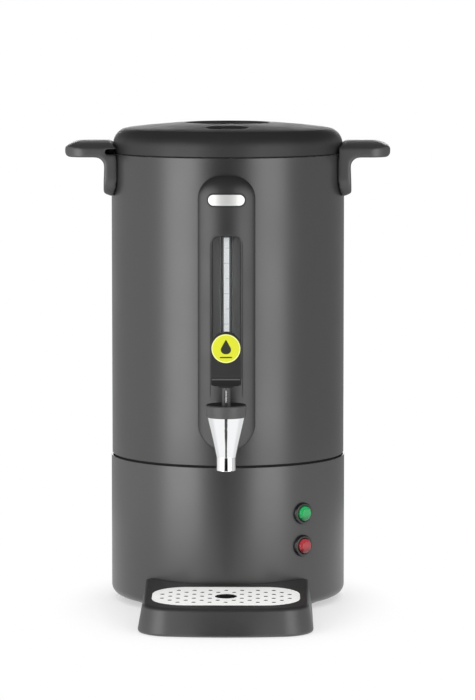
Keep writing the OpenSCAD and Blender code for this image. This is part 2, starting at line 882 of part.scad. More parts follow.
// One handle at +X, with a bayonet slot that opens towards +Y.
module handle() {
  slot_deg = lug_deg / 2 + 2;
  mouth_deg = asin(handle_w / 2 / handle_in) + 8;
  height = grip_z + grip_t + past;
  difference() {
    intersection() {
      slab_xz(-handle_w / 2 - past, handle_w / 2 + past) handle_side();
      translate([0, 0, bracket_z - past]) linear_extrude(height = height - bracket_z) handle_plan();
      translate([grip_tip, 0, 0]) slab_yz(2 * handle_reach + 2 * bracket_corner) handle_end();
    }
    cylinder(r = body_r + seat_gap, h = height, $fn = 180);
    translate([0, 0, grip_z - past]) cylinder(r = handle_in, h = grip_t + 3 * past, $fn = 180);
    rotate([0, 0, -slot_deg])
      rotate_extrude(angle = slot_deg + mouth_deg)
        translate([body_r - past, slot_z]) square([slot_r - body_r + past, slot_h]);
    for (a = [-screw_deg, screw_deg])
      radial_rod(screw_d / 2 + 0.1, body_r - past, body_r + screw_in + 0.4, a, screw_z);
  }
}

module left_handle() {
  color("#242526") rotate([0, 0, 180]) handle();
}

module right_handle() {
  color("#242526") handle();
}

// A pan-head screw driven outwards through the jacket, with its head inside.
module jacket_screw(deg, z, reach) {
  head = jacket_in - 0.1;
  radial_rod(screw_d / 2, head - past, body_r + reach, deg, z);
  radial_rod(screw_head_d / 2, head - screw_head_h, head, deg, z);
}

module handle_screws() {
  color("#b9bcbf")
    for (side = [0, 180], a = [-screw_deg, screw_deg]) jacket_screw(side + a, screw_z, screw_in);
}

// Front column

// Plan of the column: a bowed front with round long edges, back to the jacket.
module column_plan() {
  difference() {
    union() {
      intersection() {
        translate([0, -col_axis]) circle(r = col_bow, $fn = 180);
        translate([-edge_meet, -col_front - past]) square([2 * edge_meet, col_front - col_back]);
      }
      for (x = [-1, 1]) translate([x * edge_x, -edge_y]) circle(r = col_edge);
      translate([-col_w / 2, -edge_y]) square([col_w, edge_y - col_back]);
    }
    circle(r = body_r + seat_gap, $fn = 180);
  }
}

// Front view of the column: a round foot and a top with round corners.
module column_front() {
  half = col_w / 2 + 0.4;
  translate([0, col_z + half]) circle(r = half);
  translate([-half, col_z + half]) square([2 * half, col_h - half - col_corner]);
  translate([-half + col_corner, col_z + half]) square([2 * (half - col_corner), col_h - half]);
  for (x = [-1, 1]) translate([x * (half - col_corner), col_top - col_corner]) circle(r = col_corner);
}

// Side view of the column: its front rolls back at the top and at the foot.
module column_side() {
  face = col_front + 0.4;
  roll_z = col_top - roll_h;
  translate([-face, col_z + col_end]) square([face - col_back, col_h - col_end - roll_h]);
  translate([-face + col_end, col_z]) square([face - col_back - col_end, col_h - roll_h]);
  translate([-face + col_end, col_z + col_end]) circle(r = col_end);
  translate([-face + col_roll, roll_z - past]) square([face - col_back - col_roll, roll_h + past]);
  intersection() {
    translate([-face + col_roll, roll_z]) circle(r = col_roll);
    translate([-face, roll_z - past]) square([2 * col_roll, roll_h + past]);
  }
}

module front_column() {
  color("#2b2c2d")
    difference() {
      union() {
        intersection() {
          translate([0, 0, col_z - past]) linear_extrude(height = col_h + 2 * past) column_plan();
          slab_xz(col_back, col_front + past) column_front();
          slab_yz(col_w + 2 * past) column_side();
        }
        front_rod(neck_r + 1.5, body_r + 2, col_front, shank_z);
      }
      slab_xz(col_back, col_front + 2 * past)
        translate([0, window_z + window_h / 2]) soft_rect(window_w, window_h, window_corner);
      front_rod(shank_d / 2 + 0.3, col_back, col_front + past, shank_z);
      translate([0, -tube_y, shank_z]) cylinder(r = socket_r + 0.2, h = cap_top + 0.3 - shank_z);
      for (z = col_screw_zs, a = [-col_screw_deg, col_screw_deg])
        radial_rod(screw_d / 2 + 0.1, body_r - past, body_r + screw_in + 0.4, a - 90, z);
    }
}

module column_screws() {
  color("#b9bcbf")
    for (z = col_screw_zs, a = [-col_screw_deg, col_screw_deg]) jacket_screw(a - 90, z, screw_in);
}

module badge_plate() {
  color("#d5d6d7")
    intersection() {
      translate([0, -col_axis, 0]) ring(col_bow + seat_gap, col_bow + badge_t, badge_z - badge_h, badge_z + badge_h);
      slab_xz(col_axis, col_front + 2 * badge_t)
        translate([0, badge_z]) obround(badge_w, badge_h);
    }
}

// Sight tube

module sight_tube() {
  color("#e8eef0") translate([0, -tube_y, 0]) ring(tube_d / 2 - tube_t, tube_d / 2, tube_foot, tube_head);
}

module tube_seals() {
  color("#e4e2dc")
    translate([0, -tube_y, 0])
      for (z = [socket_top, window_top + 1])
        ring(tube_d / 2 + seat_gap, socket_r, z, z + seal_h);
}

module tube_cap() {
  cap_z = window_top + 1 + seal_h;
  color("#161616")
    translate([0, -tube_y, 0])
      difference() {
        translate([0, 0, cap_z]) cylinder(r = socket_r, h = cap_top - cap_z);
        translate([0, 0, cap_z - past]) cylinder(r = tube_d / 2 + seat_gap, h = tube_head + 0.3 - cap_z + past);
        cylinder(r = 1, h = cap_top + past, $fn = 24);
      }
}

// Tap

// The shank runs from the tap into the vessel and feeds the sight tube through a socket on its back.
module tap_shank() {
  shank_end = neck_end + shank_screw;
  color("#c4c7ca")
    difference() {
      union() {
        front_rod(shank_d / 2, shank_in, shank_end, shank_z);
        translate([0, -tube_y, shank_z]) cylinder(r = socket_r, h = socket_top - shank_z);
      }
      front_rod(shank_bore / 2, shank_in - past, shank_end + past, shank_z);
      translate([0, -tube_y, shank_z]) cylinder(r = tube_d / 2 - tube_t, h = socket_top - shank_z + past);
      translate([0, -tube_y, tube_foot - 0.2]) cylinder(r = tube_d / 2 + seat_gap, h = socket_top - tube_foot + past);
    }
}

module shank_nut() {
  color("#c4c7ca")
    translate([0, -nut_y, shank_z]) rotate([90, 0, 0])
      difference() {
        cylinder(r = shank_d / 2 + 5, h = nut_t, $fn = 6);
        translate([0, 0, -past]) cylinder(r = shank_d / 2 + seat_gap, h = nut_t + 2 * past);
      }
}

module shank_washers() {
  washer_r = shank_d / 2 + 4.5;
  bore = shank_d / 2 + seat_gap;
  color("#e4e2dc")
    difference() {
      union() {
        intersection() {
          front_rod(washer_r, nut_y + nut_t, vessel_in + past, shank_z);
          translate([0, 0, shank_z - 2 * washer_r]) cylinder(r = vessel_in - seat_gap, h = 4 * washer_r, $fn = 180);
        }
        front_rod(neck_r, col_front, neck_end, shank_z);
      }
      front_rod(bore, shank_in, neck_end + past, shank_z);
    }
}

module tap_spout() {
  flare_h = spout_h - mouth_h;
  ogee = 1.4;
  color("#e3e4e5")
    difference() {
      union() {
        translate([0, -tap_y, 0])
          rotate_extrude()
            polygon([
              [0, mouth_z], [mouth_d / 2 - 0.6, mouth_z], [mouth_d / 2, mouth_z + 0.6],
              [mouth_d / 2, mouth_z + mouth_h],
              for (i = [1:8]) let (t = i / 8) [
                mouth_d / 2 + (spout_d - mouth_d) / 2 * t - ogee * pow(1 - t, 2) * t,
                mouth_z + mouth_h + flare_h * t
              ],
              [0, spout_top]
            ]);
        front_rod(neck_r, neck_end, tap_y, shank_z);
      }
      translate([0, -tap_y, 0])
        rotate_extrude()
          polygon([
            [0, mouth_z - past], [mouth_bore / 2, mouth_z - past], [mouth_bore / 2, seat_z], [cup_r + 1, seat_z],
            [chamber_r, spout_top - plug_h - 1.5], [chamber_r, spout_top + past], [0, spout_top + past]
          ]);
      front_rod(shank_d / 2 + seat_gap, neck_end - past, neck_end + shank_screw + 0.2, shank_z);
      front_rod(shank_bore / 2, neck_end, tap_y, shank_z);
    }
}

// The collar closes the valve's chamber, guides the stem and has a shallow dish on top.
module tap_collar() {
  plug_z = spout_top - plug_h;
  slot_w = stem_d - 1;
  dish = 2;
  color("#2b2c2d")
    translate([0, -tap_y, 0])
      difference() {
        rotate_extrude()
          difference() {
            union() {
              polygon([
                [0, spout_top], [spout_d / 2 + 0.2, spout_top], [collar_d / 2, collar_top - 0.8],
                [collar_d / 2 - 0.8, collar_top], [collar_d / 2 - 2.5, collar_top],
                [guide_r + 5, collar_top - dish], [0, collar_top - dish]
              ]);
              translate([0, plug_z]) square([chamber_r - slide_gap, spout_top - plug_z + past]);
              translate([0, spout_top]) square([guide_r, guide_top - spout_top]);
            }
            translate([0, plug_z - past]) square([spring_r + spring_wire + 0.8, spring_top - plug_z + past]);
            square([stem_d / 2 + slide_gap, guide_top + past]);
          }
        translate([-slot_w / 2, -guide_r - past, collar_top - dish])
          cube([slot_w, guide_r + past, guide_h + dish - 2.5]);
      }
}

module valve_stem() {
  color("#d5d6d7")
    translate([0, -tap_y, 0])
      difference() {
        union() {
          translate([0, 0, seat_z + 2]) cylinder(d = stem_d, h = pin_z - seat_z - 2);
          translate([0, 0, seat_z + cup_h]) cylinder(r = spring_r + spring_wire / 2, h = stem_flange_t);
          translate([-eye_w / 2, 0, pin_z]) rotate([0, 90, 0]) cylinder(r = eye_r, h = eye_w);
        }
        translate([-eye_w, 0, pin_z]) rotate([0, 90, 0]) cylinder(d = pin_d + 2 * seat_gap, h = 2 * eye_w);
      }
}

// A soft cup that closes the valve's seat.
module seat_cup() {
  color("#d8d4c8")
    translate([0, -tap_y, 0])
      difference() {
        translate([0, 0, seat_z]) cylinder(r = cup_r, h = cup_h);
        translate([0, 0, seat_z + 2 - 0.05]) cylinder(d = stem_d + 2 * seat_gap, h = cup_h);
      }
}

// A point on a coil spring's wire, and the whole wire as one tube.
function coil_point(t, side, sides) =
  let (turn = 360 * spring_turns * t, round = 360 * side / sides)
  let (r = spring_r + spring_wire / 2 * cos(round))
  let (rise = spring_z + spring_wire / 2 + 0.1, fall = spring_top - spring_wire / 2 - 0.1)
  [r * cos(turn), r * sin(turn), rise + (fall - rise) * t + spring_wire / 2 * sin(round)];

module stem_spring() {
  sides = 6;
  rings = 8 * spring_turns;
  last = rings * sides;
  color("#c4c7ca")
    translate([0, -tap_y, 0])
      polyhedron(
        points = [for (i = [0:rings], s = [0:sides - 1]) coil_point(i / rings, s, sides)],
        faces = concat(
          [for (i = [0:rings - 1], s = [0:sides - 1])
            [i * sides + s, (i + 1) * sides + s, i * sides + (s + 1) % sides]],
          [for (i = [0:rings - 1], s = [0:sides - 1])
            [i * sides + (s + 1) % sides, (i + 1) * sides + s, (i + 1) * sides + (s + 1) % sides]],
          [for (s = [1:sides - 2]) [0, s, s + 1]],
          [for (s = [1:sides - 2]) [last, last + s + 1, last + s]]
        )
      );
}

// Front view of the paddle: a round head and a lower lip that bows down.
module paddle_front() {
  half = paddle_w / 2;
  lip_bow = 26;
  lip_top = pin_z - 1;
  translate([0, pin_z + paddle_h - half]) circle(r = half);
  intersection() {
    translate([-half, lip_top - half]) square([paddle_w, paddle_h - half + half]);
    translate([0, heel_z + lip_bow]) circle(r = lip_bow + 1);
  }
  translate([-half, pin_z + 5]) square([paddle_w, paddle_h - half - 5]);
}

// Side view of the paddle: a flat face, a fold, and a lip that slopes back to the hub.
module paddle_side() {
  face = -tap_y - paddle_out;
  fold_z = pin_z + 5.5;
  head_z = pin_z + paddle_h;
  polygon([
    [face, fold_z], [face - 0.6, fold_z + 3], [face, head_z], [face + paddle_t - 1, head_z],
    [face + paddle_t, fold_z + 6], [-tap_y + 2, fold_z + 1.5], [-tap_y + 2, pin_z + 1], [-tap_y - heel, heel_z + 1.2]
  ]);
}

module tap_lever() {
  color("#1d1e1f")
    difference() {
      union() {
        intersection() {
          slab_yz(paddle_w) paddle_side();
          slab_xz(tap_y - past - 3, tap_y + paddle_out + 2) paddle_front();
        }
        intersection() {
          translate([-hub_w / 2, -tap_y - heel, heel_z]) cube([hub_w, 2 * heel, 2 * heel]);
          union() {
            translate([-hub_w / 2, -tap_y, pin_z]) rotate([0, 90, 0]) cylinder(r = heel, h = hub_w);
            translate([-hub_w / 2, -tap_y - heel, heel_z]) cube([hub_w, heel, 2 * heel]);
          }
        }
      }
      translate([-fork_gap / 2, -tap_y - eye_r - 1.2, heel_z - past])
        cube([fork_gap, 2 * eye_r + heel, pin_z + eye_r + 0.8 - heel_z + past]);
      translate([-hub_w, -tap_y, pin_z]) rotate([0, 90, 0]) cylinder(d = pin_d + 2 * seat_gap, h = 2 * hub_w);
    }
}

module lever_pin() {
  color("#d5d6d7")
    translate([-hub_w / 2 + 0.4, -tap_y, pin_z]) rotate([0, 90, 0]) cylinder(d = pin_d, h = hub_w - 0.8);
}

// Buttons

module bezel(z) {
  difference() {
    at_button(z)
      rotate_extrude()
        difference() {
          union() {
            intersection() {
              translate([0, -past]) square([bezel_d / 2, bezel_h + past]);
              translate([bore_r, 0]) scale(1) circle(r = bezel_h);
            }
            translate([0, -past]) square([bezel_d / 2, 1 + past]);
            translate([0, -past]) square([bezel_d / 2 - 1.2, bezel_h + past - 1]);
            translate([0, -barrel_in]) square([barrel_r, barrel_in + past]);
          }
          translate([0, -barrel_in - past]) square([bore_r, barrel_in + bezel_h + 2 * past]);
          translate([0, -barrel_in - past]) square([counter_r + slide_gap, barrel_in + past - stop_in + free_gap]);
        }
    difference() {
      translate([0, 0, z - bezel_d]) cylinder(r = base_r + seat_gap, h = 2 * bezel_d, $fn = 180);
      at_button(z) translate([0, 0, -barrel_in - past]) cylinder(r = barrel_r, h = 2 * barrel_in);
    }
  }
}

module green_bezel() {
  color("#141414") bezel(green_z);
}

module red_bezel() {
  color("#141414") bezel(red_z);
}

module bezel_nuts() {
  nut_r = barrel_r + 3.2;
  nut_w = 4;
  face = base_r - sqrt(pow(base_in, 2) - pow(nut_r, 2)) + seat_gap;
  color("#2a2a2a")
    for (z = [green_z, red_z])
      at_button(z) ring(barrel_r + seat_gap, nut_r, -face - nut_w, -face);
}

module switch_bodies() {
  color("#2a2a2a")
    for (z = [green_z, red_z])
      at_button(z)
        translate([0, 0, -barrel_in - switch_l / 2]) cube([switch_w, switch_w, switch_l], center = true);
}

// A lit cap with a bevelled face, and a stop behind the bezel.
module button_cap(z) {
  at_button(z)
    rotate_extrude()
      polygon([
        [0, -stop_in - stop_t], [counter_r, -stop_in - stop_t], [counter_r, -stop_in], [cap_d / 2, -stop_in],
        [cap_d / 2, cap_h - 2.2], [cap_d / 2 - 1.9, cap_h - 0.3], [cap_d / 2 - 2.5, cap_h], [0, cap_h]
      ]);
}

module green_button() {
  color("#2f9e5c") button_cap(green_z);
}

module red_button() {
  color("#b23a40") button_cap(red_z);
}

// Drip tray

// A block with leaning faces: a bowed front, round corners and straight sides.
module tray_block() {
  lean_top = tray_lean * tray_tall / tray_back_h;
  slant = (bow_y + corner_y) / corner_x;
  wedge = tray_reach - corner_y + past;
  intersection() {
    translate([0, bow_y, 0]) cylinder(r1 = tray_bow, r2 = tray_bow - lean_top, h = tray_tall, $fn = 360);
    linear_extrude(height = tray_tall)
      polygon([
        [-corner_x, -corner_y], [-corner_x - wedge / slant, -corner_y - wedge],
        [corner_x + wedge / slant, -corner_y - wedge], [corner_x, -corner_y]
      ]);
  }
  for (x = [-1, 1])
    translate([x * corner_x, -corner_y, 0]) cylinder(r1 = tray_corner, r2 = tray_corner - lean_top, h = tray_tall);
  slab_xz(tray_tip, corner_y)
    polygon([
      [-tray_half, 0], [tray_half, 0], [tray_half - lean_top, tray_tall], [lean_top - tray_half, tray_tall]
    ]);
}

// Height of the tray's top at a distance in front of the axis.
function tray_top(y) = tray_back_h - (y - base_r) * tan(tray_slope);

// Puts a piece on the tray's sloping top, at the middle of the grid.
module on_tray() {
  translate([0, -grid_y, tray_top(grid_y)]) rotate([tray_slope, 0, 0]) children();
}

module drip_tray() {
  ledge_drop = grid_sink + grid_t + seat_gap;
  color("#1d1e1f")
    difference() {
      tray_block();
      on_tray() translate([-tray_w, -tray_reach, 0]) cube([2 * tray_w, 2 * tray_reach, tray_tall]);
      translate([0, 0, -past]) cylinder(r = tray_back, h = tray_tall + 2 * past, $fn = 180);
      on_tray()
        translate([0, 0, -ledge_drop])
          linear_extrude(height = tray_tall)
            soft_rect(grid_w + 2 * pocket_gap, grid_l + 2 * pocket_gap, grid_corner + pocket_gap);
      translate([0, -grid_y, tray_floor])
        linear_extrude(height = tray_tall)
          soft_rect(grid_w - 2 * ledge, grid_l - 2 * ledge, grid_corner - ledge);
    }
}

// True where a drip hole at x and y from the grid's middle keeps its margin to the rim and the finger hole.
function drip_fits(x, y) =
  let (rim = 4.5, c = grid_corner)
  let (dx = max(0, abs(x) - (grid_w / 2 - c)), dy = max(0, abs(y) - (grid_l / 2 - c)))
  norm([dx, dy]) + drip_d / 2 < c - rim + 0.01 && norm([x, y]) - drip_d / 2 > finger_d / 2 + 1.5;

module drip_grid() {
  columns = floor(grid_w / 2 / drip_step_x);
  rows = floor(grid_l / 2 / drip_step_y);
  color("#cfd1d2")
    on_tray() translate([0, 0, -grid_sink - grid_t])
      linear_extrude(height = grid_t)
        difference() {
          soft_rect(grid_w, grid_l, grid_corner);
          circle(d = finger_d);
          for (i = [-columns:columns], j = [-rows:rows])
            if ((i + j) % 2 != 0 && drip_fits(i * drip_step_x, j * drip_step_y))
              translate([i * drip_step_x, j * drip_step_y]) circle(d = drip_d, $fn = 16);
        }
}

foot_ring();
base_plate();
base_shell();
seam_ring();
jacket();
vessel();
tie_rods();
tie_nuts();
brew_heater();
warm_heater();
thermostat();
thermal_cutout();
terminal_block();
cord_gland();
gland_nut();
pump_tube();
coffee_basket();
spreader();
lid();
lid_gasket();
left_handle();
right_handle();
handle_screws();
front_column();
column_screws();
badge_plate();
sight_tube();
tube_seals();
tube_cap();
tap_shank();
shank_nut();
shank_washers();
tap_spout();
tap_collar();
valve_stem();
seat_cup();
stem_spring();
tap_lever();
lever_pin();
green_bezel();
red_bezel();
bezel_nuts();
switch_bodies();
green_button();
red_button();
drip_tray();
drip_grid();
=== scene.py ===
"""Coffee urn: the dressed model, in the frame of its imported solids.

The urn stands on its foot ring at the origin, +Z is up and the tap faces -Y. Sizes are in millimetres
until a shape is finished, when its mesh is scaled to metres.
"""

from __future__ import annotations

import logging
import math
from dataclasses import dataclass, replace
from enum import Enum
from typing import Any, Callable, Iterable, Sequence

import bmesh
import bpy
from mathutils import Matrix, Vector

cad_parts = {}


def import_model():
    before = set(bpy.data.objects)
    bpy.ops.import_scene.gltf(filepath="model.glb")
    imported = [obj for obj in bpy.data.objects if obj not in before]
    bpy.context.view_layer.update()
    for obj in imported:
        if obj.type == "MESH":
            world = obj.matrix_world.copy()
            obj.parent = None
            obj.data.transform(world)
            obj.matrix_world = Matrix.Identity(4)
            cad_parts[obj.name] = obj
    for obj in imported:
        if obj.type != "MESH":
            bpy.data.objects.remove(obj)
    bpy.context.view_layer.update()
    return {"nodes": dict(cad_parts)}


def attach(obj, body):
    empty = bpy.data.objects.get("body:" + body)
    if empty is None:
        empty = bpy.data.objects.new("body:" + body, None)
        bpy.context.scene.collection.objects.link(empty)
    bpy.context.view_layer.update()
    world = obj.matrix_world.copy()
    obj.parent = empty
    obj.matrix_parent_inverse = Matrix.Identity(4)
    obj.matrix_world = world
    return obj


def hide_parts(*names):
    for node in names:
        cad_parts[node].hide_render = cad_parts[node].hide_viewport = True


MM = 0.001
LOG = logging.getLogger("coffee_urn")

Colour = tuple[float, float, float, float]
Corner = tuple[float, float, float]
Span = tuple[float, float]
Ramp = tuple[Span, Span]
Nodes = dict[str, bpy.types.Object]
Socket = bpy.types.NodeSocket
Tree = bpy.types.NodeTree


class Body(Enum):
    """The bodies that pieces ride on."""

    URN = "urn"
    LEVER = "lever"
    LID = "lid_cover"
    GREEN = "green_cap"
    RED = "red_cap"
    TRAY = "tray"
    GRID = "grid"


def linear(code: str) -> Colour:
    """Turns an sRGB hex value into linear light.

    Args:
        code: Six hex digits, such as "5a5b5c".

    Returns:
        Red, green, blue and an alpha of 1.
    """
    parts = [int(code[i : i + 2], 16) / 255 for i in (0, 2, 4)]
    r, g, b = (c / 12.92 if c <= 0.04045 else ((c + 0.055) / 1.055) ** 2.4 for c in parts)
    return (r, g, b, 1.0)


def add_node(
    tree: Tree,
    kind: str,
    values: dict[str | int, Any] | None = None,
    links: dict[str | int, Socket] | None = None,
    **settings: Any,
) -> bpy.types.Node:
    """Adds a node with its settings, input values and links.

    Args:
        tree: The tree that gets the node.
        kind: The node's type name.
        values: Input values by socket name or number.
        links: Output sockets to link in, by input name or number.
        **settings: The node's own settings.

    Returns:
        The new node.
    """
    node = tree.nodes.new(kind)
    for key, value in settings.items():
        setattr(node, key, value)
    for key, value in (values or {}).items():
        node.inputs[key].default_value = value
    for key, socket in (links or {}).items():
        tree.links.new(socket, node.inputs[key])
    return node


def calc(tree: Tree, operation: str, first: Socket | float, second: Socket | float = 0.0) -> Socket:
    """Adds a sum of one or two values, each a number or a socket.

    Args:
        tree: The tree that gets the node.
        operation: The kind of sum.
        first: The first value.
        second: The second value, for sums that have one.

    Returns:
        The result's socket.
    """
    node = add_node(tree, "ShaderNodeMath", operation=operation)
    for place, value in zip(node.inputs, (first, second)):
        if isinstance(value, Socket):
            tree.links.new(value, place)
        else:
            place.default_value = value
    return node.outputs[0]


def product(tree: Tree, *values: Socket) -> Socket:
    """Multiplies values.

    Args:
        tree: The tree that gets the nodes.
        *values: The sockets of the values.

    Returns:
        The product's socket.
    """
    total = values[0]
    for value in values[1:]:
        total = calc(tree, "MULTIPLY", total, value)
    return total


def ramp(tree: Tree, value: Socket, span: Span, ends: Span, kind: str = "SMOOTHSTEP") -> Socket:
    """Leads a value from one end to the other over a span.

    Args:
        tree: The tree that gets the node.
        value: The value that leads.
        span: Where the change starts and stops.
        ends: The result at both ends.
        kind: How the change runs.

    Returns:
        The result's socket.
    """
    node = add_node(
        tree,
        "ShaderNodeMapRange",
        {"From Min": span[0], "From Max": span[1], "To Min": ends[0], "To Max": ends[1]},
        {"Value": value},
        interpolation_type=kind,
    )
    return node.outputs["Result"]


@dataclass(frozen=True)
class Finish:
    """A plain moulded or metal finish, with a grain that breaks up its sheen.

    Grain is a bump of grain_mm across and grain_depth_mm deep. Mottle is how far the roughness wanders over
    patches of mottle_mm. Between two given heights the colour darkens downwards to a second colour: painted
    shade.
    """

    name: str
    colour: str
    roughness: float
    metallic: float = 0.0
    ior: float = 1.5
    grain_mm: float = 0.0
    grain_depth_mm: float = 0.0
    mottle: float = 0.0
    mottle_mm: float = 25.0
    stretch: Corner = (1.0, 1.0, 1.0)
    coat: float = 0.0
    coat_roughness: float = 0.08
    transmission: float = 0.0
    # Painted shade: the heights between which the colour darkens, and the dark colour it reaches.
    painted_shade_z: Span | None = None
    shade: str = "000000"

    def material(self) -> bpy.types.Material:
        """Makes the finish's material once, and shares it from then on.

        Returns:
            The material.
        """
        found = bpy.data.materials.get(self.name)
        if found is not None:
            return found
        mat = bpy.data.materials.new(self.name)
        mat.use_nodes = True
        tree = mat.node_tree
        inputs = tree.nodes["Principled BSDF"].inputs
        for socket, value in (
            ("Base Color", linear(self.colour)),
            ("Roughness", self.roughness),
            ("Metallic", self.metallic),
            ("IOR", self.ior),
            ("Coat Weight", self.coat),
            ("Coat Roughness", self.coat_roughness),
            ("Transmission Weight", self.transmission),
        ):
            inputs[socket].default_value = value
        coords = add_node(tree, "ShaderNodeTexCoord").outputs["Object"]
        mapping = add_node(tree, "ShaderNodeMapping", {"Scale": self.stretch}, {"Vector": coords})
        drawn = mapping.outputs["Vector"]
        if self.grain_mm:
            tree.links.new(self.grain(tree, drawn), inputs["Normal"])
        # The colour darkens downwards here: painted shade.
        if self.painted_shade_z is not None:
            tree.links.new(self.paint_shade(tree, coords, self.painted_shade_z), inputs["Base Color"])
        if self.mottle:
            tree.links.new(self.patches(tree, drawn), inputs["Roughness"])
        return mat

    def grain(self, tree: Tree, coords: Socket) -> Socket:
        """Adds the grain's bump.

        Args:
            tree: The material's tree.
            coords: Where on the piece a point lies.

        Returns:
            The surface's direction with the bump in it.
        """
        noise = add_node(
            tree,
            "ShaderNodeTexNoise",
            {"Scale": 1 / (self.grain_mm * MM), "Detail": 2.0, "Roughness": 0.55},
            {"Vector": coords},
        )
        bump = add_node(
            tree,
            "ShaderNodeBump",
            {"Strength": 1.0, "Distance": self.grain_depth_mm * MM},
            {"Height": noise.outputs["Fac"]},
        )
        return bump.outputs["Normal"]

    def paint_shade(self, tree: Tree, coords: Socket, heights: Span) -> Socket:
        """Paints shade: darkens the colour from the upper height down to the lower.

        Args:
            tree: The material's tree.
            coords: Where on the piece a point lies.
            heights: The lower and the upper height.

        Returns:
            The colour.
        """
        z = add_node(tree, "ShaderNodeSeparateXYZ", links={0: coords}).outputs["Z"]
        rise = ramp(tree, z, (heights[0] * MM, heights[1] * MM), (0.0, 1.0))
        ends = {6: linear(self.shade), 7: linear(self.colour)}
        return add_node(tree, "ShaderNodeMix", ends, {0: rise}, data_type="RGBA").outputs[2]

    def patches(self, tree: Tree, coords: Socket) -> Socket:
        """Lets the roughness wander over patches.

        Args:
            tree: The material's tree.
            coords: Where on the piece a point lies.

        Returns:
            The roughness.
        """
        scale = {"Scale": 1 / (self.mottle_mm * MM), "Detail": 3.0}
        noise = add_node(tree, "ShaderNodeTexNoise", scale, {"Vector": coords})
        ends = (self.roughness - self.mottle, self.roughness + self.mottle)
        return ramp(tree, noise.outputs["Fac"], (0.3, 0.7), ends, "LINEAR")


# Powder-coated steel sheet, sprayed and stoved: matt dark grey with a fine orange-peel grain. The real grain
# is about 0.3 mm, too fine to show, so it is drawn at 0.9 mm.
POWDER_COAT = Finish(
    "powder_coated_steel",
    "202020",
    0.33,
    ior=1.8,
    grain_mm=0.9,
    grain_depth_mm=0.012,
    mottle=0.02,
    mottle_mm=40,
)
# The base's coat: a shade paler than the jacket's.
BASE_COAT = replace(POWDER_COAT, name="powder_coated_base_steel", colour="343434")
# The lid's polypropylene, moulded in a spark-eroded tool: satin black that greys softly on its upper faces.
BLACK_PP = Finish(
    "moulded_black_polypropylene", "1f1f1f", 0.5, ior=1.56, grain_mm=0.8, grain_depth_mm=0.02, mottle=0.04
)
# The handles' polypropylene: a shade paler, with a stronger sheen.
HANDLE_PP = replace(
    BLACK_PP, name="moulded_handle_polypropylene", colour="2e2e2e", roughness=0.46, ior=1.85, mottle=0.03
)
# The lever's polypropylene, rubbed dull by use.
LEVER_PP = replace(
    HANDLE_PP, name="moulded_lever_polypropylene", colour="2a2a2a", ior=1.4, grain_depth_mm=0.015
)
# The column's polypropylene: as dark as the lid's, with a closer sheen that takes up the coat's grey.
COLUMN_PP = replace(
    HANDLE_PP,
    name="moulded_dark_polypropylene",
    colour="1f1f1f",
    roughness=0.42,
    ior=1.66,
    grain_depth_mm=0.018,
)
# The tray's polypropylene: black, with a strong sheen.
TRAY_PP = replace(HANDLE_PP, name="grained_black_polypropylene", colour="1e1e1e", ior=1.95)
# The tap collar's lighter grey polypropylene.
COLLAR_PP = Finish("moulded_grey_polypropylene", "4c4c4c", 0.42, grain_mm=0.6, grain_depth_mm=0.01)
# The lever fold's edge, painted paler: a painted highlight where the fold catches light.
FOLD_HIGHLIGHT_PP = replace(COLLAR_PP, name="fold_painted_highlight_grey", colour="555555", roughness=0.4)
# Grey sheets in the column's window, on both sides of the tube: painted light over the shade of the recess.
WINDOW_PAINTED_LIGHT_PP = replace(COLLAR_PP, name="window_painted_light_grey", colour="626262", roughness=0.5)
# Pale grey sheet in the jacket's slot: painted light over the shade of the recess.
SLOT_PAINTED_LIGHT_PP = replace(WINDOW_PAINTED_LIGHT_PP, name="slot_painted_light_grey", colour="a8a8a8")
# ABS with a satin face: near-black with soft small highlights.
GLOSS_ABS = Finish("polished_black_abs", "141415", 0.32, ior=1.75, mottle=0.03, mottle_mm=8)
# Glass-filled nylon: dull black.
NYLON = Finish("glass_filled_nylon", "17181a", 0.55, grain_mm=0.7, grain_depth_mm=0.02)
# Decorative chrome over zinc alloy: a clear mirror with a faint cool tint.
CHROME = Finish("chrome_plated_zinc", "f5f6f7", 0.06, metallic=1.0, mottle=0.015, mottle_mm=15)
# Stainless sheet with a rolled finish: soft reflections drawn out along X. The rolling lines are about 0.1 mm
# apart, and are drawn at 0.5 mm so that they show. They scatter a part of the light, so it stays pale inside.
STAINLESS = Finish(
    "rolled_stainless_steel",
    "c9c9c7",
    0.27,
    metallic=0.65,
    grain_mm=0.5,
    grain_depth_mm=0.004,
    mottle=0.05,
    stretch=(0.06, 1.0, 1.0),
)
# The grid's sheet: an even satin whose near-white colour is painted light, standing in for the steel's bright
# reflection.
PAINTED_LIGHT_STEEL = Finish("satin_steel_with_painted_light", "fcfcfa", 0.4, mottle=0.05, mottle_mm=12)
# Brushed aluminium of the badge, under a clear lacquer: it catches light from a wide angle.
BADGE_FOIL = replace(
    STAINLESS,
    name="brushed_aluminium",
    colour="dededc",
    roughness=0.34,
    metallic=0.45,
    grain_depth_mm=0.003,
    mottle=0.0,
)
# Zinc-plated mild steel: dull silver.
ZINC = Finish("zinc_plated_steel", "b4b7ba", 0.38, metallic=1.0, mottle=0.08, mottle_mm=6)
# Cast element metal: dull grey with a coarse skin.
CAST = Finish("cast_element_metal", "8a8a88", 0.55, metallic=1.0, grain_mm=1.4, grain_depth_mm=0.05)
# Moulded rubber: flat black.
RUBBER = Finish("moulded_rubber", "141414", 0.75, grain_mm=0.9, grain_depth_mm=0.03)
# Silicone: milky off-white with a soft sheen.
SILICONE = Finish("milky_silicone", "c9c5bb", 0.5, mottle=0.05, mottle_mm=6)
# Dark silicone of the lid's and the tube's seals.
DARK_SILICONE = Finish("dark_silicone", "2c2c2d", 0.55, mottle=0.05, mottle_mm=6)
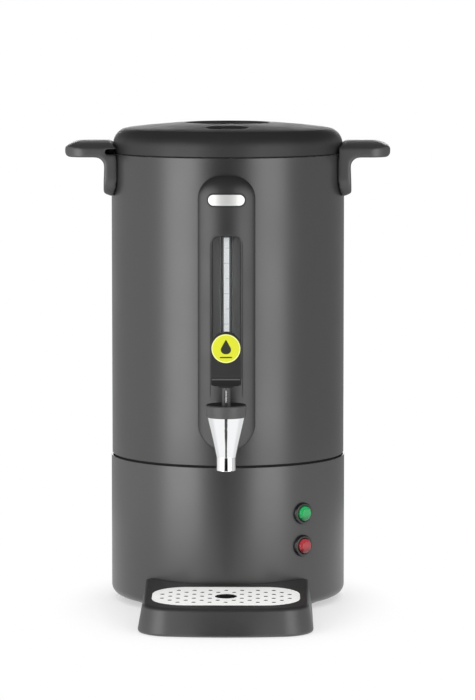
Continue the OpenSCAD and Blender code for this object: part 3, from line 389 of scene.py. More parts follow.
# Steatite and phenolic bodies of the electrical pieces: cream, dry.
STEATITE = Finish("cream_steatite", "d8d2c0", 0.62, grain_mm=1.0, grain_depth_mm=0.02)
# Thin borosilicate tube: clear, and filled with water, so that it bends light less than glass in air.
CLEAR_TUBE = Finish("clear_borosilicate", "f8fafa", 0.02, ior=1.13, transmission=1.0)
# Printed vinyl: flat yellow-green under a thin gloss.
LABEL_VINYL = Finish("yellow_green_vinyl", "d8dc2c", 0.42, coat=0.1, mottle=0.03, mottle_mm=5)
# The vinyl's paler cut edge.
LABEL_EDGE = Finish("pale_yellow_vinyl_edge", "eef09a", 0.42, mottle=0.03, mottle_mm=5)
# Black print on the vinyl.
LABEL_INK = Finish("black_print", "2a2c1c", 0.42, mottle=0.03, mottle_mm=4)
# Pale grey print of the level marks.
SCALE_INK = Finish("grey_print", "e2e4e4", 0.45, mottle=0.03, mottle_mm=4)
# White scale strip behind the sight tube.
SCALE_WHITE = Finish("white_scale_strip", "ffffff", 0.45, mottle=0.03, mottle_mm=5)
# Translucent acrylic caps: saturated and glossy. Their colour darkens towards the bottom: painted shade on
# the lower half.
GREEN_ACRYLIC = Finish(
    "green_acrylic",
    "30bc6a",
    0.18,
    coat=0.5,
    transmission=0.25,
    mottle=0.02,
    mottle_mm=4,
    painted_shade_z=(86, 93),
    shade="1f7f4a",
)
# The red caps get the same painted shade on their lower half.
RED_ACRYLIC = replace(
    GREEN_ACRYLIC, name="red_acrylic", colour="c03e46", painted_shade_z=(55.5, 62.5), shade="7e2c30"
)

# Turn of each facet of a rounded corner, in radians.
FACET = math.radians(10)
# Corners of a drawn shape, and of a copied solid, that lie closer than this are one.
MERGE = 0.0005
COPY_MERGE = 0.004
# Faces of a copied solid that turn by less than this are one, in radians.
FLAT = math.radians(0.4)
# Edges of a slab that turn by more than this get its bevel, in radians.
RIM_TURN = 0.9
# Facets across a rounded edge of a solid or slab.
EDGE_FACETS = 3


def oblong(left: float, right: float, low: float, high: float, radius: float = 0.0) -> list[Corner]:
    """Draws an upright rectangle in X and Z, with one radius for its corners."""
    return [(left, low, radius), (right, low, radius), (right, high, radius), (left, high, radius)]


def forward(y: float, z: float = 0.0) -> Matrix:
    """Returns the place at a distance in front of the urn's axis, and at a height."""
    return Matrix.Translation((0, -y, z))


def about_z(degrees: float) -> Matrix:
    """Returns a turn about the upright axis."""
    return Matrix.Rotation(math.radians(degrees), 4, "Z")


def arc(middle: Span, radius: float, start: float, stop: float, steps: int) -> list[Span]:
    """Draws an arc in plan from one angle to another, in radians, with both ends."""
    turns = [start + (stop - start) * i / steps for i in range(steps + 1)]
    return [(middle[0] + radius * math.cos(a), middle[1] + radius * math.sin(a)) for a in turns]


class Shape:
    """A mesh under construction in millimetres, and the object that it becomes."""

    def __init__(self, name: str) -> None:
        """Starts an empty mesh for a piece of that name."""
        self.name = name
        self.bm = bmesh.new()

    def chain(self, corners: Sequence[Corner], closed: bool = False) -> list[bmesh.types.BMEdge]:
        """Draws a chain of edges in X and Z, and rounds each corner that has a radius.

        Args:
            corners: X, Z and corner radius of each point.
            closed: Whether the last point joins the first.

        Returns:
            The chain's edges.
        """
        before = set(self.bm.edges)
        verts = [self.bm.verts.new((x, 0, z)) for x, z, _ in corners]
        pairs = list(zip(verts, verts[1:])) + ([(verts[-1], verts[0])] if closed else [])
        for a, b in pairs:
            self.bm.edges.new((a, b))
        points = [Vector((x, 0, z)) for x, z, _ in corners]
        for i, (vert, (_, _, radius)) in enumerate(zip(verts, corners)):
            if radius <= 0:
                continue
            back = (points[i - 1] - points[i]).normalized()
            ahead = (points[(i + 1) % len(points)] - points[i]).normalized()
            turn = math.pi - back.angle(ahead)
            self.bevel([vert], radius * math.tan(turn / 2), max(2, round(turn / FACET)), "VERTICES")
        return [e for e in self.bm.edges if e not in before]

    def loop(self, points: Sequence[Corner]) -> list[bmesh.types.BMEdge]:
        """Draws a closed loop of edges through points in space, and returns the edges."""
        verts = [self.bm.verts.new(p) for p in points]
        return [self.bm.edges.new((a, b)) for a, b in zip(verts, verts[1:] + verts[:1])]

    def fresh(self, before: set[bmesh.types.BMVert]) -> list[bmesh.types.BMVert]:
        """Returns the vertices that have been added since."""
        return [v for v in self.bm.verts if v not in before]

    def settle(self, before: set[bmesh.types.BMVert], place: Matrix | None) -> None:
        """Turns new faces to the outside, and moves them to their place.

        Args:
            before: The vertices that were there before.
            place: Where the new faces go, if they move.
        """
        verts = self.fresh(before)
        bmesh.ops.recalc_face_normals(self.bm, faces=list({f for v in verts for f in v.link_faces}))
        if place is not None:
            bmesh.ops.transform(self.bm, matrix=place, verts=verts)

    def spin(
        self,
        corners: Sequence[Corner],
        steps: int,
        angle: float = 360.0,
        closed: bool = False,
        place: Matrix | None = None,
    ) -> None:
        """Turns a chain about the Z axis.

        Args:
            corners: The chain, as distance from the axis, height and corner radius.
            steps: Steps of the turn.
            angle: The turn in degrees.
            closed: Whether the chain is a closed loop.
            place: Where the turned shape goes.
        """
        before = set(self.bm.verts)
        edges = self.chain(corners, closed)
        verts = list({v for e in edges for v in e.verts})
        full = angle >= 360
        bmesh.ops.spin(
            self.bm,
            geom=verts + edges,
            cent=(0, 0, 0),
            axis=(0, 0, 1),
            angle=math.radians(angle),
            steps=steps,
            use_merge=full,
        )
        bmesh.ops.remove_doubles(self.bm, verts=self.fresh(before), dist=MERGE)
        if not full and closed:
            ends = [e for e in self.bm.edges if e.is_boundary and e.verts[0] not in before]
            bmesh.ops.holes_fill(self.bm, edges=ends, sides=0)
        self.settle(before, place)

    def slab(self, corners: Sequence[Corner], depth: float, place: Matrix, edge: float = 0.0) -> None:
        """Fills a closed outline drawn in X and Z and gives it a depth towards +Y.

        Args:
            corners: The outline.
            depth: The depth.
            place: Where the slab goes.
            edge: Width of the bevel round both faces.
        """
        before = set(self.bm.verts)
        edges = self.chain(corners, closed=True)
        face = bmesh.ops.contextual_create(self.bm, geom=edges)["faces"][0]
        moved = bmesh.ops.extrude_face_region(self.bm, geom=[face])["geom"]
        rim = [v for v in moved if isinstance(v, bmesh.types.BMVert)]
        bmesh.ops.translate(self.bm, vec=(0, depth, 0), verts=rim)
        self.settle(before, None)
        if edge:
            rims = {e for v in self.fresh(before) for e in v.link_edges if e.calc_face_angle(0) > RIM_TURN}
            self.bevel(rims, edge)
        bmesh.ops.transform(self.bm, matrix=place, verts=self.fresh(before))

    def bevel(
        self, geom: Iterable[Any], width: float, facets: int = EDGE_FACETS, affect: str = "EDGES"
    ) -> None:
        """Rounds edges or the corners of a chain.

        Args:
            geom: The edges or vertices.
            width: Width of the rounding.
            facets: Facets across it.
            affect: "EDGES", which never overlap, or "VERTICES".
        """
        bmesh.ops.bevel(
            self.bm,
            geom=list(geom),
            offset=width,
            offset_type="OFFSET",
            segments=facets,
            profile=0.5,
            affect=affect,
            clamp_overlap=affect == "EDGES",
            material=-1,
        )

    def copy(self, node: bpy.types.Object) -> None:
        """Starts from a solid's own faces, with their corners merged.

        Args:
            node: The solid's object.
        """
        self.bm.from_mesh(node.data)
        bmesh.ops.scale(self.bm, vec=(1 / MM, 1 / MM, 1 / MM), verts=self.bm.verts)
        bmesh.ops.remove_doubles(self.bm, verts=self.bm.verts, dist=COPY_MERGE)

    def solid(self, node: bpy.types.Object, edge: float, limit: float) -> None:
        """Starts from a solid's own faces and rounds its sharp edges, as a moulding tool does.

        Args:
            node: The solid's object.
            edge: Width of the rounding.
            limit: Edges that turn by more than this many degrees are rounded.
        """
        self.copy(node)
        bmesh.ops.dissolve_limit(
            self.bm, angle_limit=FLAT, verts=self.bm.verts, edges=self.bm.edges, use_dissolve_boundaries=False
        )
        limit = math.radians(limit)
        self.bevel([e for e in self.bm.edges if e.is_manifold and e.calc_face_angle(0) > limit], edge)

    def finish(
        self,
        finish: Finish,
        body: Body,
        slot: str,
        replaces: Sequence[str] = (),
        sharp: float = 40.0,
        even: bool = False,
    ) -> bpy.types.Object:
        """Scales the mesh to metres, dresses it and puts it on its body.

        Args:
            finish: The finish of the whole piece.
            body: The body that it rides on.
            slot: The record's material slot; not used.
            replaces: The solids that it stands for.
            sharp: Edges that turn by more than this many degrees stay sharp.
            even: Whether large faces keep their flat shading beside rounded edges.

        Returns:
            The piece's object.
        """
        bmesh.ops.scale(self.bm, vec=(MM, MM, MM), verts=self.bm.verts)
        for face in self.bm.faces:
            face.smooth = True
        for edge in self.bm.edges:
            edge.smooth = edge.calc_face_angle(0) < math.radians(sharp)
        mesh = bpy.data.meshes.new(self.name)
        self.bm.to_mesh(mesh)
        self.bm.free()
        obj = bpy.data.objects.new(self.name, mesh)
        bpy.context.scene.collection.objects.link(obj)
        mesh.materials.append(finish.material())
        if even:
            weighted = obj.modifiers.new("even_shading", "WEIGHTED_NORMAL")
            weighted.keep_sharp = True
        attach(obj, body.value)
        if replaces:
            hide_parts(*replaces)
        LOG.info("%s: %d faces", self.name, len(mesh.polygons))
        return obj


@dataclass
class Assembly:
    """A sub-assembly of the urn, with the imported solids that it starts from."""

    nodes: Nodes

    def build(self) -> None:
        """Builds the pieces and dresses the solids that stay."""
        raise NotImplementedError

    def moulding(
        self, name: str, finish: Finish, body: Body, slot: str, edge: float, limit: float = 28.0
    ) -> bpy.types.Object:
        """Makes a piece from one solid with its edges rounded, and lets it stand for that solid.

        Args:
            name: The solid's name.
            finish: The piece's finish.
            body: The body that it rides on.
            slot: The record's material slot.
            edge: Width of the rounding.
            limit: Edges that turn by more than this many degrees are rounded.

        Returns:
            The piece's object.
        """
        shape = Shape(name + "_piece")
        shape.solid(self.nodes[name], edge, limit)
        return shape.finish(finish, body, slot, [name], even=True)

    def soft_moulding(
        self,
        name: str,
        finish: Finish,
        body: Body,
        cell: float,
        passes: int,
        change: Callable[[Shape], None] | None = None,
    ) -> None:
        """Makes a plastic piece from one solid, with ridges that run softly into each other.

        Args:
            name: The solid's name.
            finish: The piece's finish.
            body: The body that it rides on.
            cell: Size of the even mesh that the piece gets.
            passes: How often the mesh is relaxed; each pass rounds the ridges more.
            change: What is done to the solid's shape first.
        """
        shape = Shape(name + "_piece")
        shape.copy(self.nodes[name])
        if change is not None:
            change(shape)
        obj = shape.finish(finish, body, "black_plastic", [name], sharp=180)
        even = obj.modifiers.new("even_mesh", "REMESH")
        even.mode = "VOXEL"
        even.voxel_size = cell * MM
        even.use_smooth_shade = True
        relax = obj.modifiers.new("soft_ridges", "SMOOTH")
        relax.factor = 0.5
        relax.iterations = passes

    def dress(self, finish: Finish, names: Iterable[str]) -> None:
        """Gives solids that stay as they are their finish.

        Args:
            finish: The finish.
            names: The solids' names.
        """
        for name in names:
            slots = self.nodes[name].data.materials
            if slots:
                slots[0] = finish.material()
            else:
                slots.append(finish.material())


@dataclass
class Shells(Assembly):
    """The base shell, the jacket and what shows of the seam between them."""

    body_r: float = 110.0
    base_r: float = 110.8
    wall: float = 0.8
    base_wall: float = 1.5
    base_z: float = 4.0
    base_top: float = 137.7
    jacket_z: float = 139.3
    jacket_top: float = 423.5
    lip_z: Span = (421.85, 422.65)
    lip_in: float = 105.8
    lip_r: float = 93.8
    edge_r: float = 9.0
    slot_half: float = 7.6
    slot_slack: float = 0.8
    slot_z: Span = (178.0, 372.5)
    steps: int = 288

    def build(self) -> None:
        """Builds both shells and dresses the rings and plates that stay as they are."""
        self.base()
        self.jacket()
        self.dress(RUBBER, ["seam_ring", "foot_ring"])
        self.dress(ZINC, ["base_plate", "tie_rods", "tie_nuts"])

    def base(self) -> None:
        """Spins the base shell with its round bottom edge and its folded top."""
        t = self.base_wall
        shape = Shape("base_shell_piece")
        shape.spin(
            [
                (self.lip_r, self.base_z, 0.5),
                (self.base_r, self.base_z, self.edge_r),
                (self.base_r, self.base_top, 0.5),
                (self.base_r - t, self.base_top, 0.3),
                (self.base_r - t, self.base_z + t, self.edge_r - t),
                (self.lip_r, self.base_z + t, 0.3),
            ],
            self.steps,
            closed=True,
        )
        shape.finish(BASE_COAT, Body.URN, "painted_steel", ["base_shell"])

    def jacket(self) -> None:
        """Spins the jacket with its turned-in lip, and opens the slot behind the sight tube."""
        t = self.wall
        low, high = self.slot_z
        shape = Shape("jacket_piece")
        shape.spin(
            [
                (self.body_r - 0.4, self.jacket_z, 0.2),
                (self.body_r, self.jacket_z + 0.5, 0.3),
                (self.body_r, low, 0),
                (self.body_r, high, 0),
                (self.body_r, self.jacket_top, 0.3),
                (self.body_r - t, self.jacket_top, 0.2),
                (self.body_r - t, self.lip_z[1], 0),
                (self.lip_in, self.lip_z[1], 0.2),
                (self.lip_in, self.lip_z[0], 0.2),
                (self.body_r - t, self.lip_z[0], 0.3),
                (self.body_r - t, high, 0),
                (self.body_r - t, low, 0),
                (self.body_r - t, self.jacket_z, 0.2),
            ],
            self.steps,
            closed=True,
        )
        slot = []
        for face in shape.bm.faces:
            x, y, z = face.calc_center_median()
            if low - 1 < z < high + 1 and y < 0 and abs(x) < self.slot_half - self.slot_slack:
                slot.append(face)
        bmesh.ops.delete(shape.bm, geom=slot, context="FACES")
        bmesh.ops.bridge_loops(shape.bm, edges=[e for e in shape.bm.edges if e.is_boundary])
        shape.finish(POWDER_COAT, Body.URN, "painted_steel", ["jacket"])


@dataclass
class Lid(Assembly):
    """The bayonet lid: a domed shell with a grip recess, a steam scoop, lugs and a skirt."""

    lid_r: float = 108.3
    low_z: float = 424.3
    top_z: float = 453.5
    crown_r: float = 760.0
    shoulder_r: float = 14.5
    wall: float = 3.0
    recess_r: float = 40.0
    recess_floor_r: float = 37.0
    recess_depth: float = 12.0
    skirt_r: float = 103.5
    skirt_in: float = 100.9
    skirt_z: float = 415.5
    grip_w: float = 14.0
    grip_h: float = 8.5
    grip_draft: float = 0.8
    grip_round: float = 2.2
    scoop_y: float = 69.0
    scoop_w: float = 38.0
    scoop_l: float = 20.0
    scoop_rise: float = 0.9
    scoop_soft: float = 0.8
    scoop_band: Span = (54.0, 84.0)
    row_start: float = 56.0
    row_step: float = 0.7
    row_count: int = 38
    lug_deg: float = 16.0
    lug_reach: float = 5.3
    lug_t: float = 3.3
    lug_steps: int = 24
    steps: int = 480

    def crown(self, rho: float) -> float:
        """Height of the crown at a distance from the axis."""
        return self.top_z - self.crown_r + math.sqrt(self.crown_r**2 - rho**2)

    def build(self) -> None:
        """Builds the lid and dresses its seal."""
        shape = Shape("lid_piece")
        brim = self.crown(self.recess_r)
        floor = brim - self.recess_depth
        corner_z = self.crown(self.lid_r)
        rows = [self.row_start + self.row_step * i for i in range(self.row_count)]
        shape.spin(
            [(0, floor, 0), (self.recess_floor_r, floor, 2.5), (self.recess_r, brim, 1.0)]
            + [(rho, self.crown(rho), 0) for rho in (44.0, 50.0, *rows, 86.0)]
            + [
                (self.lid_r, corner_z, self.shoulder_r),
                (self.lid_r, self.low_z, 0.6),
                (self.skirt_r, self.low_z, 0.4),
                (self.skirt_r, self.skirt_z, 0.5),
                (self.skirt_in, self.skirt_z, 0.5),
                (self.skirt_in, self.low_z + self.wall, 0.5),
                (self.lid_r - self.wall, self.low_z + self.wall, 1),
                (self.lid_r - self.wall, corner_z - self.wall, self.shoulder_r - self.wall),
                (self.recess_r + self.wall, brim - self.wall, 1),
                (self.recess_floor_r + self.wall, floor - self.wall, 2),
                (0, floor - self.wall, 0),
            ],
            self.steps,
        )
        self.sink_scoop(shape)
        self.add_grip(shape, floor)
        inner, out = self.lid_r - 1, self.lid_r + self.lug_reach
        top = self.low_z + self.lug_t
        lug = [(inner, self.low_z, 0), (out, self.low_z, 0.5), (out, top, 0.5), (inner, top, 0)]
        for side in (0, 180):
            turn = about_z(side - self.lug_deg / 2)
            shape.spin(lug, self.lug_steps, self.lug_deg, closed=True, place=turn)
        shape.finish(BLACK_PP, Body.LID, "black_plastic", ["lid"])
        self.dress(DARK_SILICONE, ["lid_gasket"])

    def sink_scoop(self, shape: Shape) -> None:
        """Presses the steam scoop into the crown, with a rounded edge and a level floor.

        Args:
            shape: The lid's shape.
        """
        floor = self.crown(self.scoop_y + self.scoop_l / 2) - self.scoop_rise
        flat = (self.scoop_w - self.scoop_l) / 2
        near, far = self.scoop_band
        for vert in shape.bm.verts:
            x, y, z = vert.co
            rho = math.hypot(x, y)
            if y > 0 or not near < rho < far or z < self.crown(rho) - 0.05:
                continue
            over = math.hypot(max(0.0, abs(x) - flat), y + self.scoop_y) - self.scoop_l / 2
            share = min(1.0, max(0.0, (self.scoop_soft - over) / (2 * self.scoop_soft)))
            ease = share * share * (3 - 2 * share)
            vert.co.z += (floor - z) * ease

    def add_grip(self, shape: Shape, floor: float) -> None:
        """Adds the bar across the recess, with a round top.

        Args:
            shape: The lid's shape.
            floor: Height of the recess's floor.
        """
        half, top = self.grip_w / 2, floor + self.grip_h
        upper = half - self.grip_draft
        reach = self.recess_floor_r + 1.5
        shape.slab(
            [
                (-half, floor - 1, 0),
                (half, floor - 1, 0),
                (upper, top, self.grip_round),
                (-upper, top, self.grip_round),
            ],
            2 * reach,
            Matrix.Translation((-reach, 0, 0)) @ about_z(-90),
        )


@dataclass
class Handles(Assembly):
    """The two side handles and their screws."""

    cell: float = 0.8
    passes: int = 40

    def build(self) -> None:
        """Builds both handles."""
        for name in ("left_handle", "right_handle"):
            self.soft_moulding(name, HANDLE_PP, Body.URN, self.cell, self.passes)
        self.dress(ZINC, ["handle_screws", "column_screws"])


@dataclass
class Column(Assembly):
    """The front column with its badge plate, sight tube and scale."""

    cell: float = 0.8
    passes: int = 14
    half: float = 26.5
    top_z: float = 408.0
    corner_r: float = 21.0
    bow_r: float = 45.0
    bow_y: float = 77.0
    edge_r: float = 5.0
    jacket_r: float = 110.15
    crown_z: float = 374.0
    crown_h: float = 20.0
    crown_depth: float = 10.8
    crown_cells: tuple[int, int] = (56, 48)
    rim_w: float = 1.2
    rim_sink: float = 0.4
    # Sheets of painted light in the slot and in the window.
    light_sheet: Span = (7.3, 106.7)
    light_sheet_z: Span = (180.0, 370.0)
    side_light_x: Span = (5.9, 12.7)
    side_light_z: Span = (192.0, 356.0)
    sill_half: float = 14.4
    sill_z: Span = (198.0, 222.0)
    sill_t: float = 2.0
    sill_proud: float = 0.05
    sill_steps: int = 24
    strip_y: float = 110.8
    strip_w: float = 5.2
    strip_z: Span = (205.0, 351.0)
    tick_z: float = 215.0
    tick_h: float = 0.8
    tick_step: float = 14.0
    tick_count: int = 10
    short_tick: float = 0.3

    def build(self) -> None:
        """Builds the column's pieces."""
        self.soft_moulding("front_column", COLUMN_PP, Body.URN, self.cell, self.passes, self.crown)
        self.moulding("badge_plate", BADGE_FOIL, Body.URN, "bright_chrome", 0.35)
        self.badge_painted_shadow()
        self.dress(CLEAR_TUBE, ["sight_tube"])
        self.dress(DARK_SILICONE, ["tube_seals"])
        self.dress(NYLON, ["tube_cap"])
        self.paint_recess_light()
        self.sill()
        self.scale()

    def front(self, x: float, z: float) -> float:
        """Distance of the column's front from the urn's axis plane, with one even rounding along its outline.

        Args:
            x: Place across the column.
            z: Height.

        Returns:
            The distance towards the viewer.
        """
        side = abs(x) - (self.half - self.corner_r)
        rise = z - (self.top_z - self.corner_r)
        if side > 0 and rise > 0:
            reach = math.hypot(side, rise)
            inside, upward = self.corner_r - reach, (rise / reach) ** 2
        else:
            inside = min(self.half - abs(x), self.top_z - z)
            upward = float(self.top_z - z < self.half - abs(x))
        inside = max(0.0, inside)
        edge_x = self.half - self.edge_r
        meet = edge_x * self.bow_r / (self.bow_r - self.edge_r)
        across = self.half - inside
        flank = 0.0
        if across > meet:
            edge_y = math.sqrt((self.bow_r - self.edge_r) ** 2 - edge_x**2)
            rounded = math.sqrt(self.edge_r**2 - (across - edge_x) ** 2)
            flank = math.sqrt(self.bow_r**2 - across**2) - edge_y - rounded
        share = max(0.0, 1 - inside / self.crown_h)
        head = self.crown_depth * (1 - math.sqrt(1 - share**2))
        return self.bow_y + math.sqrt(self.bow_r**2 - x**2) - (1 - upward) * flank - upward * head

    def crown(self, shape: Shape) -> None:
        """Gives the column a top whose front runs back in one arch.

        Args:
            shape: The column's shape.
        """
        bm = shape.bm
        whole = [*bm.verts, *bm.edges, *bm.faces]
        cut = bmesh.ops.bisect_plane(
            bm, geom=whole, plane_co=(0, 0, self.crown_z), plane_no=(0, 0, 1), clear_outer=True
        )["geom_cut"]
        rim = [e for e in cut if isinstance(e, bmesh.types.BMEdge)]
        bmesh.ops.triangle_fill(bm, use_beauty=True, edges=rim)
        wide, tall = self.crown_cells
        sheet = bmesh.ops.create_grid(bm, x_segments=wide, y_segments=tall, size=1)["verts"]
        low = self.crown_z - 1
        for vert in sheet:
            z = self.top_z - (self.top_z - low) * ((1 - vert.co.y) / 2) ** 2
            rise = max(0.0, z - (self.top_z - self.corner_r))
            reach = self.half - self.corner_r + math.sqrt(max(0.0, self.corner_r**2 - rise**2))
            x = vert.co.x * reach
            vert.co = (x, -self.front(x, z), z)
        faces = list({f for v in sheet for f in v.link_faces})
        moved = bmesh.ops.extrude_face_region(bm, geom=faces)["geom"]
        for vert in (v for v in moved if isinstance(v, bmesh.types.BMVert)):
            vert.co.y = -math.sqrt(self.jacket_r**2 - vert.co.x**2)
        bmesh.ops.recalc_face_normals(bm, faces=bm.faces)

    def badge_painted_shadow(self) -> None:
        """Adds a dark edge round the badge: a painted shadow for the gap of the badge's recess."""
        rim = Shape("badge_painted_shadow")
        rim.copy(self.nodes["badge_plate"])
        heights = [v.co.z for v in rim.bm.verts]
        middle, tall = (max(heights) + min(heights)) / 2, (max(heights) - min(heights)) / 2
        wide = max(v.co.x for v in rim.bm.verts)
        for vert in rim.bm.verts:
            depth = math.hypot(vert.co.x, -vert.co.y - self.bow_y) - self.rim_sink
            vert.co.x *= 1 + self.rim_w / wide
            vert.co.y = -self.bow_y - math.sqrt(depth**2 - vert.co.x**2)
            vert.co.z += self.rim_w * (vert.co.z - middle) / tall
        rim.finish(NYLON, Body.URN, "black_plastic")

    def paint_recess_light(self) -> None:
        """Adds pale grey sheets behind the tube and on both sides of it: painted light over the shaded
        recess.
        """
        half, y = self.light_sheet
        light_sheet = Shape("slot_painted_light")
        light_sheet.slab(oblong(-half, half, *self.light_sheet_z, 2), 0.5, forward(y))
        light_sheet.finish(SLOT_PAINTED_LIGHT_PP, Body.URN, "black_plastic")
        side_sheets = Shape("window_painted_light")
        near, far = self.side_light_x
        for side in (-1, 1):
            side_sheets.slab(oblong(side * near, side * far, *self.side_light_z), 0.25, forward(self.jacket_r + 0.3))
        side_sheets.finish(WINDOW_PAINTED_LIGHT_PP, Body.URN, "black_plastic")

    def sill(self) -> None:
        """Closes the window's lower end, behind the tap's stem, with a plate flush in the column's bow."""
        out = self.bow_r + self.sill_proud
        reach = math.degrees(math.asin(self.sill_half / out))
        plate = Shape("window_sill")
        plate.spin(
            oblong(out - self.sill_t, out, *self.sill_z),
            self.sill_steps,
            2 * reach,
            closed=True,
            place=forward(self.bow_y) @ about_z(-90 - reach),
        )
        plate.finish(COLUMN_PP, Body.URN, "black_plastic")

    def scale(self) -> None:
        """Adds the white strip inside the tube and its tick marks, each second one short."""
        half = self.strip_w / 2
        strip = Shape("scale_strip")
        strip.slab(oblong(-half, half, *self.strip_z, 0.4), 0.5, forward(self.strip_y))
        strip.finish(SCALE_WHITE, Body.URN, "clear_tube")
        ticks = Shape("scale_ticks")
        for i in range(self.tick_count):
            z = self.tick_z + i * self.tick_step
            left = half * self.short_tick if i % 2 else half
            ticks.slab(oblong(-left, half, z, z + self.tick_h), 0.1, forward(self.strip_y + 0.08))
        ticks.finish(SCALE_INK, Body.URN, "clear_tube")


@dataclass
class Tap(Assembly):
    """The lever tap: chrome spout, collar, stem and paddle."""

    cell: float = 0.45
    passes: int = 12
    fold_z: Span = (224.6, 225.9)
    fold_half: float = 12.8
    axis_y: float = 145.0
    collar_r: float = 19.0
    collar_z: float = 200.5
    guide_r: float = 3.9
    face_y: float = 158.0
    label_z: float = 253.5
    label_r: float = 13.1
    label_rim: float = 1.0
    label_top: float = 0.85
    steps: int = 72

    def build(self) -> None:
        """Builds the tap's pieces."""
        self.moulding("tap_spout", CHROME, Body.URN, "bright_chrome", 0.3, 35)
        self.moulding("tap_collar", COLLAR_PP, Body.URN, "black_plastic", 0.5, 35)
        self.soft_moulding("tap_lever", LEVER_PP, Body.LEVER, self.cell, self.passes)
        self.paint_fold_highlight()
        self.paint_collar_shade()
        self.dress(CHROME, ["valve_stem", "lever_pin", "tap_shank", "shank_nut"])
        self.dress(SILICONE, ["seat_cup", "shank_washers"])
        self.dress(ZINC, ["stem_spring"])
        self.label()

    def paint_fold_highlight(self) -> None:
        """Adds the raised line along the paddle's fold, painted pale as a highlight where it catches the
        light.
        """
        line = Shape("lever_fold_highlight")
        outline = oblong(-self.fold_half, self.fold_half, *self.fold_z, 0.5)
        line.slab(outline, 1.6, forward(self.face_y + 0.75), 0.3)
        line.finish(FOLD_HIGHLIGHT_PP, Body.LEVER, "black_plastic")

    def paint_collar_shade(self) -> None:
        """Adds a dull black ring in the collar's dished top: painted shade."""
        inner, out = self.guide_r + 0.3, self.collar_r - 1.0
        shade_ring = Shape("collar_painted_shade")
        shade_ring.spin(
            [
                (inner, -1.9, 0),
                (inner, -1.3, 0.2),
                (self.guide_r + 5.0, -1.3, 1.0),
                (self.collar_r - 2.4, 0.4, 0.8),
                (out, 0.4, 0.2),
                (out, -0.2, 0),
            ],
            self.steps,
            place=forward(self.axis_y, self.collar_z),
        )
        shade_ring.finish(NYLON, Body.URN, "black_plastic")

    def label(self) -> None:
        """Adds the round vinyl on the paddle, with a plain drop over a bar."""
        r = self.label_r
        place = forward(self.face_y, self.label_z) @ Matrix.Rotation(math.radians(90), 4, "X")
        disc = Shape("label_disc")
        disc.spin([(0, 0.75, 0), (r, 0.75, 0.1), (r, 0.2, 0)], self.steps, place=place)
        disc.finish(LABEL_VINYL, Body.LEVER, "black_plastic")
        edge = Shape("label_edge")
        edge.spin(oblong(r - self.label_rim, r, 0.7, self.label_top), self.steps, closed=True, place=place)
        edge.finish(LABEL_EDGE, Body.LEVER, "black_plastic")
        ink = Shape("label_print")
        drop = [(0, 8.4, 0.6), (4.9, -0.4, 3.8), (3.8, -5.0, 4.0), (-3.8, -5.0, 4.0), (-4.9, -0.4, 3.8)]
        bar = oblong(-5.5, 5.5, -8.6, -7.5, 0.5)
        for outline in (drop, bar):
            raised = [(x, z + self.label_z, radius) for x, z, radius in outline]
            ink.slab(raised, 0.15, forward(self.face_y + self.label_top))
        ink.finish(LABEL_INK, Body.LEVER, "black_plastic")


@dataclass
class Buttons(Assembly):
    """The two push buttons on the base, with domed bezels."""

    deg: float = 39.4
    base_r: float = 110.8
    green_z: float = 92.0
    red_z: float = 61.5
    bezel_r: float = 10.25
    bezel_h: float = 3.2
    bore_r: float = 7.38
    barrel_r: float = 9.4
    barrel_z: float = -12.5
    seat_z: float = -1.2
    cap_r: float = 6.8
    cap_h: float = 6.8
    cap_edge: float = 2.2
    stop_r: float = 8.3
    stop_z: Span = (-9.1, -7.5)
    steps: int = 72

    def place(self, z: float) -> Matrix:
        """Returns the place of a button whose axis points out of the base."""
        return about_z(self.deg) @ forward(self.base_r, z) @ Matrix.Rotation(math.radians(90), 4, "X")

    def build(self) -> None:
        """Builds bezels and caps, and dresses what is behind them."""
        low, high = self.stop_z
        for name, z, finish, body in (
            ("green", self.green_z, GREEN_ACRYLIC, Body.GREEN),
            ("red", self.red_z, RED_ACRYLIC, Body.RED),
        ):
            bezel = Shape(name + "_bezel_piece")
            bezel.spin(
                [
                    (self.bore_r, self.barrel_z, 0),
                    (self.barrel_r, self.barrel_z, 0),
                    (self.barrel_r, self.seat_z, 0),
                    (self.bezel_r, self.seat_z, 0),
                    (self.bezel_r, 0.9, 0.8),
                    (self.bezel_r - 0.5, self.bezel_h, 1.3),
                    (self.bore_r, self.bezel_h, 0.5),
                ],
                self.steps,
                closed=True,
                place=self.place(z),
            )
            bezel.finish(GLOSS_ABS, Body.URN, "gloss_black", [name + "_bezel"])
            cap = Shape(name + "_cap_piece")
            cap.spin(
                [
                    (0, low, 0),
                    (self.stop_r, low, 0.3),
                    (self.stop_r, high, 0.3),
                    (self.cap_r, high, 0),
                    (self.cap_r, self.cap_h - self.cap_edge, 0.6),
                    (self.cap_r - self.cap_edge, self.cap_h, 0.8),
                    (0, self.cap_h, 0),
                ],
                self.steps,
                place=self.place(z),
            )
            cap.finish(finish, body, name + "_lens", [name + "_button"])
        self.dress(NYLON, ["bezel_nuts", "switch_bodies"])


